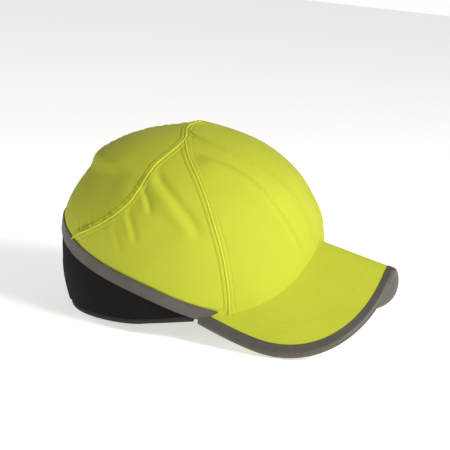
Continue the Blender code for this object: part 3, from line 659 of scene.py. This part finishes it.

# %% [markdown]
# ## Stitches
# A lockstitch shows as a row of short raised dashes, each pulled down at its ends. One stitch is modelled
# from a low sphere, stretched and flattened by hand, and its few faces are then laid along every row,
# on whatever cloth is there. Rows of real geometry catch the light as thread does.
# The thread is coloured a darker olive than the cloth, which is painted shade for the dips along each row.

# %% One stitch, modelled once
bpy.ops.mesh.primitive_uv_sphere_add(segments=6, ring_count=4, radius=1)
stitch = bpy.context.object
bpy.ops.transform.resize(value=(0.26, 0.26, 1))
bpy.ops.object.transform_apply(location=False, rotation=False, scale=True)
bpy.ops.object.mode_set(mode="EDIT")
bpy.ops.mesh.select_all(action="SELECT")
bpy.ops.transform.rotate(value=math.pi / 2, orient_axis="Y", center_override=(0, 0, 0))
bpy.ops.mesh.bevel(offset=0.02, segments=1)
bpy.ops.mesh.dissolve_degenerate(threshold=0.001)
bpy.ops.object.mode_set(mode="OBJECT")
STITCH = np.array([v.co[:] for v in stitch.data.vertices])
STITCH_FACES = [tuple(p.vertices) for p in stitch.data.polygons]
bpy.data.objects.remove(stitch, do_unlink=True)
print("one stitch has", len(STITCH_FACES), "faces")


# %% Rows of stitches
def surface(grids):
    verts, faces, base = [], [], 0
    for P in grids:
        nu, nv = P.shape[:2]
        index = np.arange(nu * nv).reshape(nu, nv) + base
        verts.append(P.reshape(-1, 3))
        quads = [index[:-1, :-1], index[1:, :-1], index[1:, 1:], index[:-1, 1:]]
        faces.append(np.stack(quads, -1).reshape(-1, 4))
        base += nu * nv
    return BVHTree.FromPolygons(np.vstack(verts).tolist(), np.vstack(faces).tolist())


def sew(name, rows, tree, material, length=2.2, pitch=2.9, size=0.42, lift=0.05):
    """Stitches along rows of places, each laid on the cloth in tree."""
    verts, faces = [], []
    for row in rows:
        steps = np.linalg.norm(np.diff(row, axis=0), axis=1)
        s = np.r_[0, np.cumsum(steps)]
        marks = np.arange(pitch * MM, s[-1] - pitch * MM, pitch * MM)
        at = np.stack([np.interp(marks, s, row[:, k]) for k in range(3)], -1)
        ahead = np.stack([np.interp(marks + 1 * MM, s, row[:, k]) for k in range(3)], -1)
        for p, q in zip(at, ahead):
            hit, normal, _, _ = tree.find_nearest(Vector(p), 0.012)
            if hit is None:
                continue
            n = np.array(normal)
            t = unit(q - p - n * ((q - p) @ n))
            frame_of = np.stack([t, np.cross(n, t), n])
            base = len(verts) * len(STITCH)
            shaped = STITCH * (length / 2, size * 1.3, size) * MM
            verts.append(shaped @ frame_of + np.array(hit) + n * lift * MM)
            faces += [tuple(i + base for i in f) for f in STITCH_FACES]
    mesh = bpy.data.meshes.new(name)
    mesh.from_pydata(to_world(np.vstack(verts)).tolist(), [], faces)
    mesh.shade_smooth()
    print(name, len(verts), "stitches")
    return keep(add(name, mesh, material), "cover")


def beside(places, distance):
    """A row beside a seam line on the crown; positive distance in metres is to one side of it."""
    P, N = crown_line(places, 0.0)
    across = unit(np.cross(N, unit(np.gradient(P, axis=0))))
    return P + across * distance


cloth_tree = surface(OUTER)
fine_steps = np.linspace(0, 1, 140)
rows = []
for side in (1, -1):
    for distance in (4.2, -4.2):
        rows.append(beside(seam(CROSSOVER, side, 0.05, 0.985)(fine_steps), distance * MM))
        rows.append(beside(seam(SIDE_LINE, side, 0.05, 0.975)(fine_steps), distance * MM))
sew("piping_stitches", rows, cloth_tree, THREAD_WITH_PAINTED_SHADE)
rows = [beside(seam(FRONT_LINE, side, 0.03, 0.955)(fine_steps), distance * MM)
        for side in (1, -1) for distance in (3.0, -3.0)]
sew("front_seam_stitches", rows, cloth_tree, THREAD_WITH_PAINTED_SHADE)
rear_line = straight(chart(180, 0.03), chart(180, float(tape_edge(180)) - 0.01))(fine_steps)
rows = [beside(rear_line, distance * MM) for distance in (4.6, -4.6)]
sew("rear_seam_stitches", rows, cloth_tree, THREAD_WITH_PAINTED_SHADE)

# %% [markdown]
# ## Reflective tape round the hem
# The tape is a narrow ribbon with glass beads, stitched flat along both edges. It is laid from the foot
# of one side seam round the back to the other, dips at its stitches, and its front ends are cut at a
# slant and tucked behind the visor's binding.


# %% The tape and its stitches
def tape_grid(columns, rows_across, lift=0.95):
    u = np.linspace(0, 1, columns)[:, None]
    v = np.linspace(0, 1, rows_across)[None]
    start = 56 + 8 * v
    angle = start + (360 - 2 * start) * u
    t = tape_edge(angle) + 10.5 * MM / WALL_SHARE_LENGTH * v
    P, N = crown_face(angle, t), crown_normal(angle, t)
    edge = np.minimum(v, 1 - v) * 10.5
    ripple = 0.10 * np.sin(2 * math.pi * 46 * u + 1.3 * np.sin(2 * math.pi * 7 * u)) * bell(edge - 1.0, 1.4)
    rise = lift - 0.22 * bell(edge - 1.1, 0.45) - 0.16 * bell(edge, 0.35) + ripple \
        + 0.10 * np.sin(2 * math.pi * 9 * u + 1.0)
    return P + N * (rise * MM)[..., None]


tape = tape_grid(420, 22)
cloth("reflective_hem_tape", tape, 0.45 * MM, REFLECTIVE, ["reflective_hem_tape"])
tape_tree = surface([outward(tape)])
flat_rows = [tape[:, 2], tape[:, -3]]
sew("tape_stitches", flat_rows, tape_tree, GREY_THREAD, 1.9, 2.6, 0.26, 0.03)

# %% [markdown]
# ## Mesh neck
# Below the tape the cap is a black spacer mesh, cut away in an arch at the nape over the adjuster. The
# arch is made by stopping the grid at a line rather than by cutting it, so the weave stays whole. The
# lower edge is turned in a soft roll and bound, and the arch has a round binding of its own.

# %% Neck mesh, in two halves
HEM_CLEAR = 1.0 * MM / WALL_SHARE_LENGTH
MESH_START = 69.5       # degrees from the front, behind the visor's corner
ARCH_RADIUS, ARCH_SPRING = 30 * MM, 13 * MM


def share_at_height(angle, height):
    low, high = np.zeros(np.shape(angle)), np.ones(np.shape(angle))
    for _ in range(30):
        middle = (low + high) / 2
        above = crown_face(angle, middle)[..., 2] > height
        low, high = np.where(above, middle, low), np.where(above, high, middle)
    return low


def nape_places(x, z, offset):
    """Places of the crown's face with a given x and height near the nape."""
    angle = np.full(np.shape(x), 180.0)
    for _ in range(5):
        t = share_at_height(angle, z)
        p = crown_face(angle, t)
        angle = np.degrees(np.arctan2(-x, -p[..., 1]))
    return crown_face(angle, t) + crown_normal(angle, t) * offset, crown_normal(angle, t), angle, t


turns = np.radians(np.linspace(0, 90, 60))
arch_x = np.r_[ARCH_RADIUS * np.ones(12), ARCH_RADIUS * np.cos(turns)]
arch_z = np.r_[np.linspace(1.5 * MM, ARCH_SPRING, 12, endpoint=False),
               ARCH_SPRING + ARCH_RADIUS * np.sin(turns)]
_, _, arch_angle, arch_t = nape_places(arch_x, arch_z, 0.0)
arch_chart = chart(np.abs(arch_angle), arch_t)
hem_end = float(np.abs(arch_angle[0]))


def mesh_top(angle):
    return panel_edge(angle) - 0.012


# down the middle of the nape to the top of the arch, then along the arch to the hem
centre_steps = np.linspace(0, 1, 16, endpoint=False)[:, None]
split = np.vstack([chart(180, float(mesh_top(180))) * (1 - centre_steps) + arch_chart[-1] * centre_steps,
                   arch_chart[::-1]])
split_share = np.r_[0, np.cumsum(np.linalg.norm(np.diff(split, axis=0), axis=1))]
split_share /= split_share[-1]

for label, side in SIDES:
    def arch_edge(s):
        return np.stack([np.interp(np.asarray(s), split_share, split[:, k]) for k in (0, 1)], -1) * (side, 1)

    patch = coons(edge_line(mesh_top, MESH_START, 180, side),
                  edge_line(lambda a: along(NECK_HEM, a) - HEM_CLEAR, MESH_START, hem_end, side),
                  straight(chart(MESH_START, float(mesh_top(MESH_START))) * (side, 1),
                           chart(MESH_START, float(along(NECK_HEM, MESH_START)) - HEM_CLEAR) * (side, 1)),
                  arch_edge, 60, 150)
    angle, t = polar(patch)
    P, N = crown_face(angle, t), crown_normal(angle, t)
    hem = (1 - t) * WALL_SHARE_LENGTH / MM
    sag = 0.35 * np.sin(np.radians(angle) * 9) * bell(hem - 14, 9) - 0.9 * bell(hem, 3.2)
    P = P + N * (sag * MM - 0.2 * MM)[..., None]
    cloth(f"neck_mesh_{label}", P, 0.9 * MM, MESH_CLOTH, [f"neck_mesh_{label}"])

# %% Bindings of the hem and of the arch
for label, side in SIDES:
    angle = np.linspace(MESH_START - 2, hem_end - 0.6, 150) * side
    base = crown_face(angle, along(NECK_HEM, angle))
    out = unit(base * (1, 1, 0))
    line = base + out * -0.9 * MM + np.array((0, 0, 2.45 * MM))
    bead(f"neck_hem_binding_{label}", line, out, 2.45 * MM, BLACK_BINDING,
         [f"neck_hem_binding_{label}"], sides=16, flat=0.55)

full_x = np.r_[arch_x, -arch_x[::-1][1:]]
full_z = np.r_[arch_z, arch_z[::-1][1:]]
P, N, _, _ = nape_places(full_x, full_z, -0.5 * MM)
bead("arch_binding", P, N, 1.6 * MM, BLACK_BINDING, ["arch_binding"], sides=14)

# %% [markdown]
# ## Visor
# A visor is a stiff board between two layers of cloth, held by a band folded over the edge. The top
# cloth runs back under the front panels, so the crease between crown and visor is where the two really
# meet. A few rows of stitching follow the edge.


# %% Visor layers
def visor_grid(depth, inward, edge_inset, columns, rows_deep, swell=0.0):
    u = np.linspace(0, 1, columns)
    angle = 59 * (1 - 2 * u)
    foot = crown_face(angle, junction(angle))[:, :2]
    inner = foot - unit(foot) * inward
    outer = inside_outline(0.004 + 0.992 * u, edge_inset)
    v = np.linspace(0, 1, rows_deep)[None, :, None]
    flat = inner[:, None] * (1 - v) + outer[:, None] * v
    return visor_sheet(flat, -depth + swell * np.sin(v[..., 0] * math.pi) ** 0.5)


top = visor_grid(0.0, 1.6 * MM, 5.2 * MM, 200, 80)
cloth("visor_top_cover", outward(top, (0, 0, -1)), 0.9 * MM, YELLOW,
      ["visor_top_cover"], turn=False)
cloth("visor_under_cover", outward(visor_grid(3.85 * MM, -3.5 * MM, 5.2 * MM, 150, 50), (0, 0, -1)), 0.8 * MM,
      UNDERSIDE, ["visor_under_cover"], turn=False)

# %% Band folded over the visor's edge
BAND = 6.9
turn = np.radians(np.linspace(90, -90, 17))
half = 2.75
band_inset = np.r_[np.linspace(BAND, half, 9)[:-1], half * (1 - np.cos(turn)), np.linspace(half, BAND, 9)[1:]]
band_depth = np.r_[np.full(8, -half), -half * np.sin(turn), np.full(8, half)]
s = np.r_[np.linspace(0.002, 0.14, 60), np.linspace(0.14, 0.86, 260)[1:-1], np.linspace(0.86, 0.998, 60)]
pucker = 0.06 * np.sin(s * 900 + 2 * np.sin(s * 90))
band = np.stack([visor_sheet(inside_outline(s, inset * MM),
                             (pucker * bell(inset - 5.6, 1.2) - 0.16 * bell(inset - 5.7, 0.4)
                              - depth - 2.32) * MM)
                 for inset, depth in zip(band_inset, band_depth)], 1)
along_band, over_band = band[1:, :-1] - band[:-1, :-1], band[:-1, 1:] - band[:-1, :-1]
faces_up = np.cross(along_band, over_band)[:, 2, 2].sum() > 0
cloth("visor_edge_binding", band if faces_up else band[::-1], 0.4 * MM, REFLECTIVE,
      ["visor_edge_binding"], turn=False)

# %% Stitches on the visor
visor_tree = surface([top])
band_tree = surface([band])
rows = [visor_sheet(inside_outline(np.linspace(0.02 + k * 0.008, 0.98 - k * 0.008, 200), inset * MM))
        for k, inset in enumerate((14.5, 20.5))]
sew("visor_stitches", rows, visor_tree, THREAD_WITH_PAINTED_SHADE, 2.0, 2.9, 0.32, 0.03)
sew("visor_band_stitches", [band[:, 3]], band_tree, PALE_THREAD, 1.8, 2.6, 0.26, 0.05)

# %% [markdown]
# ## Inside: sweatband and seam tapes
# From below one sees a towelling sweatband stitched round the brow, and a bias tape over each seam.

# %% Sweatband
u = np.linspace(0, 1, 260)[:, None]
v = np.linspace(0, 1, 30)[None]
angle = 125 * (1 - 2 * u)
hem_line = np.where(np.abs(angle) <= 53, junction(angle) - 2 * MM / WALL_SHARE_LENGTH,
                    along(NECK_HEM, angle) - 5.8 * MM / WALL_SHARE_LENGTH)
t = hem_line - 28 * MM / WALL_SHARE_LENGTH * (1 - v)
from_seam = v * 28 - 26         # millimetres down the band from its row of stitches
ripple = (0.18 * np.sin(2 * math.pi * 40 * u + 2 * np.sin(14 * u)) * bell(from_seam, 3)
          - 0.25 * bell(from_seam, 0.8))
P = crown_face(angle, t) + crown_normal(angle, t) * ((-1.4 - ripple) * MM)[..., None]
cloth("sweatband", P, 1.2 * MM, TOWELLING, ["sweatband"])


# %% Tapes over the seams, inside
def seam_strip(name, places, depth):
    P, N = crown_line(places, -depth)
    across = unit(np.cross(N, unit(np.gradient(P, axis=0))))
    w = np.linspace(-5.5, 5.5, 13)
    rise = (0.25 * bell(np.abs(w) - 4.3, 0.6)) * MM
    strip = P[:, None] + across[:, None] * (w * MM)[None, :, None] + N[:, None] * rise[None, :, None]
    return cloth(name, strip, 0.5 * MM, SEAM_CLOTH, [name])


short, long = np.linspace(0, 1, 90), np.linspace(0, 1, 120)
for label, side in SIDES:
    seam_strip(f"front_seam_tape_{label}", seam(FRONT_LINE, side, 0.16, 0.68)(short), 1.8 * MM)
    seam_strip(f"crossover_seam_tape_{label}", seam(CROSSOVER, side, 0.10, 0.90)(long), 2.2 * MM)
seam_strip("rear_seam_tape", straight(chart(180, 0.06), chart(180, 0.60))(short), 1.8 * MM)

# %% [markdown]
# ## The hard shell
# The shell is one injection-moulded dome with oval vents and shallow ribs between them. It is laid as a
# disc on the crown, a little deeper towards its rim. The vents are cut with a Boolean of rounded bars,
# and the ribs are raised in the grid itself so that they die away smoothly.


# %% Shell
def shell_depth(angle, t):
    return 3.9 * MM + 4.0 * MM * (t / along(SHELL_EDGE, angle)) ** 2


def disc(n):
    x, y = np.meshgrid(np.linspace(-1, 1, n), np.linspace(-1, 1, n), indexing="ij")
    flat = np.stack([x * np.sqrt(1 - y * y / 2), y * np.sqrt(1 - x * x / 2)], -1)
    angle = np.degrees(np.arctan2(-flat[..., 0], -flat[..., 1]))
    return angle, np.hypot(flat[..., 0], flat[..., 1])


angle, r = disc(120)
t = r * along(SHELL_EDGE, angle)
rib_angles = np.array([0, 43, 81, 125, 180, -43, -81, -125])
nearest = np.min(np.abs((angle[..., None] - rib_angles + 180) % 360 - 180), axis=-1)
ribs = 0.9 * bell(nearest * np.radians(t * 150), 3.2) * step(0.10, 0.16, t) * step(0.0, 0.12, 1 - r)
rim = 0.6 * bell((1 - r) * 60, 2.0)
P = crown_face(angle, t) + crown_normal(angle, t) * (-shell_depth(angle, t) + (ribs + rim) * MM)[..., None]
P = outward(P)
shell = add("shell", grid_mesh("inner_shell", P), SHELL_PLASTIC)
wall = shell.modifiers.new("wall", "SOLIDIFY")
wall.thickness, wall.offset = 2.0 * MM, -1
vents = []
for a, share in ((24, 0.26), (62, 0.30), (100, 0.22), (150, 0.22)):
    for side in (1, -1):
        n = Vector(crown_normal(a * side, share))
        down = Vector(crown_face(a * side, share + 0.01) - crown_face(a * side, share)).normalized()
        bpy.ops.mesh.primitive_cylinder_add(vertices=40, radius=1, depth=1)
        bar = bpy.context.object
        middle = Vector(crown_face(a * side, share)) - n * float(shell_depth(a * side, share))
        turned = Matrix((down.cross(n), down, n)).transposed().to_4x4()
        size = Matrix.Diagonal((3.4 * MM, 9 * MM, 14 * MM, 1))
        bar.data.transform(TIP @ Matrix.Translation(middle) @ turned @ size)
        vents.append(bar)
for bar in vents:
    cut = shell.modifiers.new("vent", "BOOLEAN")
    cut.operation, cut.object, cut.solver = "DIFFERENCE", bar, "EXACT"
soften = shell.modifiers.new("edges", "BEVEL")
soften.width, soften.segments, soften.limit_method, soften.angle_limit = 0.35 * MM, 2, "ANGLE", 0.9
apply_all(shell)
for bar in vents:
    bpy.data.objects.remove(bar, do_unlink=True)
keep(shell, "insert", ["inner_shell"])
print("shell", len(shell.data.polygons), "faces,", len(vents), "vents")

# %% [markdown]
# ## Foam pads
# Each pad is a die-cut block of foam: full in the middle, thinner at its edges where the cutter pressed.
# A grid for its face, swelled by a dome of height, and a second one for its glued back are joined into
# one closed cushion.


# %% Pads
def pad(name, angle, t, swell=1.2):
    nu, nv = angle.shape
    u, v = np.linspace(-1, 1, nu)[:, None], np.linspace(-1, 1, nv)[None]
    full = np.clip(1 - u ** 8, 0, 1) ** 0.4 * np.clip(1 - v ** 8, 0, 1) ** 0.4
    N = crown_normal(angle, t)
    back = crown_face(angle, t) - N * (shell_depth(angle, t) + 2.7 * MM)[..., None]
    face = back - N * ((0.6 + 4.2 * full + swell * 0.3 * (1 - u ** 2) * (1 - v ** 2)) * MM)[..., None]
    face = face + 0.10 * MM * N * np.sin(u * 21 + v * 13)[..., None]
    mesh = grid_mesh(name, outward(back))
    other = grid_mesh(name + "_face", outward(face)[::-1])
    work = bmesh.new()
    work.from_mesh(mesh)
    work.from_mesh(other)
    rims = [e for e in work.edges if e.is_boundary]
    bmesh.ops.bridge_loops(work, edges=rims)
    bmesh.ops.recalc_face_normals(work, faces=work.faces)
    work.to_mesh(mesh)
    work.free()
    mesh.shade_smooth()
    obj = add(name, mesh, FOAM)
    keep(obj, "insert", [name])
    print(name, len(mesh.polygons), "faces")
    return obj


def patch_of(start, end, upper, lower, nu, nv):
    u, v = np.linspace(0, 1, nu)[:, None], np.linspace(0, 1, nv)[None]
    return start + (end - start) * u + 0 * v, upper + (lower - upper) * v + 0 * u


pad("brow_pad", *patch_of(40, -40, 0.43, 0.585, 90, 30))
for label, side in SIDES:
    pad(f"side_pad_{label}", *patch_of(50 * side, 70 * side, 0.36, 0.54, 40, 44))
    pad(f"rear_pad_{label}", *patch_of(112 * side, 166 * side, 0.285, 0.335, 60, 20))
x, y = np.meshgrid(np.linspace(-0.13, 0.13, 50), np.linspace(-0.17, 0.17, 60), indexing="ij")
pad("crown_pad", *polar(np.stack([x, y], -1)))

# %% [markdown]
# ## Adjuster strap at the nape
# A strap of webbing passes through a ring at the wearer's right and folds back on itself. The parts
# lie on an upright arc round the back of the head. The tab has a stitched end and slides on the strap.

# %% Strap, tab, anchor and ring
STRAP_WIDTH, STRAP_CENTRE_HEIGHT = 20.0, 17 * MM
nape = crown_face(180, share_at_height(np.array(180.0), STRAP_CENTRE_HEIGHT))
half_width = profile(CROWN_HALF_WIDTH, 2.4, 3 * MM, share_at_height(np.array(90.0), STRAP_CENTRE_HEIGHT))[0]
NAPE_RADIUS = float(half_width) ** 2 / float(nape[1])
STRAP_CENTRE_Y, STRAP_RADIUS = float(nape[1]) - NAPE_RADIUS, NAPE_RADIUS - 4.8 * MM
print("nape radius", round(NAPE_RADIUS, 4), "strap axis y", round(STRAP_CENTRE_Y, 4))


def band_piece(name, start, end, radius, thickness, material, body, width=STRAP_WIDTH,
               round_end=False):
    u, v = np.linspace(0, 1, 90), np.linspace(-1, 1, 25)[None]
    turn = np.radians(start + (end - start) * u)[:, None] + 0 * v
    half = np.full(len(u), width / 2)
    if round_end:
        half *= np.sqrt(np.clip(1 - np.clip((0.16 - u) / 0.16, 0, 1) ** 2, 0.02, 1))
    rise = -0.18 * bell(np.abs(v) - 0.84, 0.05) - 0.25 * step(0.93, 1.0, np.abs(v))
    r = radius + rise * MM + 0 * turn
    P = np.stack([-r * np.sin(turn), STRAP_CENTRE_Y + r * np.cos(turn),
                  STRAP_CENTRE_HEIGHT + half[:, None] * v * MM], -1)
    return cloth(name, P, thickness, material, [name], body,
                 core=(0, STRAP_CENTRE_Y, STRAP_CENTRE_HEIGHT))


TAB_RADIUS = STRAP_RADIUS + 1.6 * MM
band_piece("strap_web", -40, 19, STRAP_RADIUS, 1.3 * MM, WEBBING, "cover")
band_piece("ring_anchor", 20, 40, STRAP_RADIUS, 1.3 * MM, WEBBING, "cover")
band_piece("strap_tab", -8, 13.5, TAB_RADIUS, 1.1 * MM, WEBBING, "strap", 19.0, True)


def arc_place(degrees, radius, z):
    a = math.radians(degrees)
    return np.array((-radius * math.sin(a), STRAP_CENTRE_Y + radius * math.cos(a), z))


corner = np.radians(np.linspace(0, 360, 73))
power = 0.35
loop_a = np.sign(np.cos(corner)) * np.abs(np.cos(corner)) ** power * 3.4 + 18.65
loop_z = np.sign(np.sin(corner)) * np.abs(np.sin(corner)) ** power * 8.6 * MM + STRAP_CENTRE_HEIGHT
ring_line = np.array([arc_place(a, TAB_RADIUS - 0.6 * MM, z) for a, z in zip(loop_a, loop_z)])
ring_up = unit(ring_line - np.array((0, STRAP_CENTRE_Y, 0)) - np.stack([0 * loop_z, 0 * loop_z, loop_z], -1))
steps = np.r_[0, np.cumsum(np.linalg.norm(np.diff(ring_line, axis=0), axis=1))]
even = np.linspace(0, steps[-1], 90, endpoint=False)
ring_line, ring_up = (np.stack([np.interp(even, steps, a[:, k]) for k in range(3)], -1)
                      for a in (ring_line, ring_up))
tangent = unit(np.roll(ring_line, -1, 0) - np.roll(ring_line, 1, 0))
across = unit(np.cross(tangent, ring_up))
section = np.radians(np.linspace(0, 360, 12, endpoint=False))
P = (ring_line[:, None] + across[:, None] * np.cos(section)[None, :, None] * 1.0 * MM
     + ring_up[:, None] * np.sin(section)[None, :, None] * 0.62 * MM)
P = np.concatenate([P, P[:, :1]], 1)
ring = add("strap_ring", grid_mesh("strap_ring", P, ring=True), BUCKLE_PLASTIC)
mend(ring.data, 1e-6)
keep(ring, "cover", ["strap_ring"])
print("ring", len(ring.data.polygons), "faces")

# %% [markdown]
# ## What stays as the CAD has it
# The visor's board is plain moulded sheet inside the cloth, so its CAD solid stays and only its finish
# changes.

# %% The board
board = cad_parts["visor_board"]
board.data.materials.clear()
board.data.materials.append(BOARD_PLASTIC)
print("board has", len(board.data.polygons), "faces")

# %% [markdown]
# ## Floor, light and camera
# The floor is a plain white sheet that glows a little, as paper does under studio lamps. A large soft key
# stands in front and above, and a weak warm fill at the rear leaves the back of the crown in olive shade.
# The sky lights the cap dimly. The camera looks across the wearer's right side with a long lens.

# %% Floor
bpy.ops.mesh.primitive_plane_add(size=6)
floor = bpy.context.object
floor.name = "floor"
paper = bpy.data.materials.new("floor_paper")
paper.use_nodes = True
sheet = paper.node_tree.nodes["Principled BSDF"]
sheet.inputs["Base Color"].default_value = (0.9, 0.9, 0.9, 1)
sheet.inputs["Roughness"].default_value = 0.9
sheet.inputs["Emission Color"].default_value = (1, 1, 1, 1)
sheet.inputs["Emission Strength"].default_value = 0.6
floor.data.materials.append(paper)

# %% Lights
world = bpy.data.worlds.new("studio")
bpy.context.scene.world = world
world.use_nodes = True
world.node_tree.nodes["Background"].inputs["Color"].default_value = (1.0, 0.99, 0.97, 1)
sky = world.node_tree.nodes["Background"]
rays = world.node_tree.nodes.new("ShaderNodeLightPath")
seen = world.node_tree.nodes.new("ShaderNodeMath")
seen.operation = "MULTIPLY_ADD"         # bright where the camera sees it, dim where it lights the cap
seen.inputs[1].default_value, seen.inputs[2].default_value = 0.8, 0.2
world.node_tree.links.new(rays.outputs["Is Camera Ray"], seen.inputs[0])
world.node_tree.links.new(seen.outputs["Value"], sky.inputs["Strength"])
bpy.context.scene.view_settings.view_transform = "Standard"
centre = Vector((0, -0.01, 0.07))


def area_light(name, place, size, power, colour):
    data = bpy.data.lights.new(name, "AREA")
    data.size, data.energy, data.color = size, power, colour
    lamp = bpy.data.objects.new(name, data)
    lamp.location = place
    lamp.rotation_euler = (centre - Vector(place)).to_track_quat("-Z", "Y").to_euler()
    bpy.context.scene.collection.objects.link(lamp)


area_light("key", (-0.45, -1.5, 1.1), 0.6, 31, (1.0, 0.95, 0.88))
area_light("side", (-1.6, -0.3, 0.9), 0.9, 2.5, (0.97, 1.0, 0.94))
area_light("rear_fill", (-0.6, 1.5, 0.5), 1.0, 2.0, (1.0, 0.6, 0.3))

# %% Camera
azimuth, elevation = math.radians(-70.49), math.radians(11.22)
eye_way = Vector((math.sin(azimuth) * math.cos(elevation), -math.cos(azimuth) * math.cos(elevation),
                  math.sin(elevation)))
right = Vector((math.cos(azimuth), math.sin(azimuth), 0))
up = eye_way.cross(right)
target = Vector((0, -0.030, 0.060))
aim = Matrix((right, up, eye_way)).transposed().to_4x4()
data = bpy.data.cameras.new("camera")
data.sensor_width, data.lens = 36, 1651 / 450 * 36
data.shift_x, data.shift_y = -0.0019, 0.0126
data.clip_start = 0.05
camera = bpy.data.objects.new("camera", data)
camera.matrix_world = TIP @ (Matrix.Translation(target + eye_way * 1.3) @ aim)
bpy.context.scene.collection.objects.link(camera)
bpy.context.scene.camera = camera
print("camera at", [round(v, 3) for v in camera.matrix_world.translation])
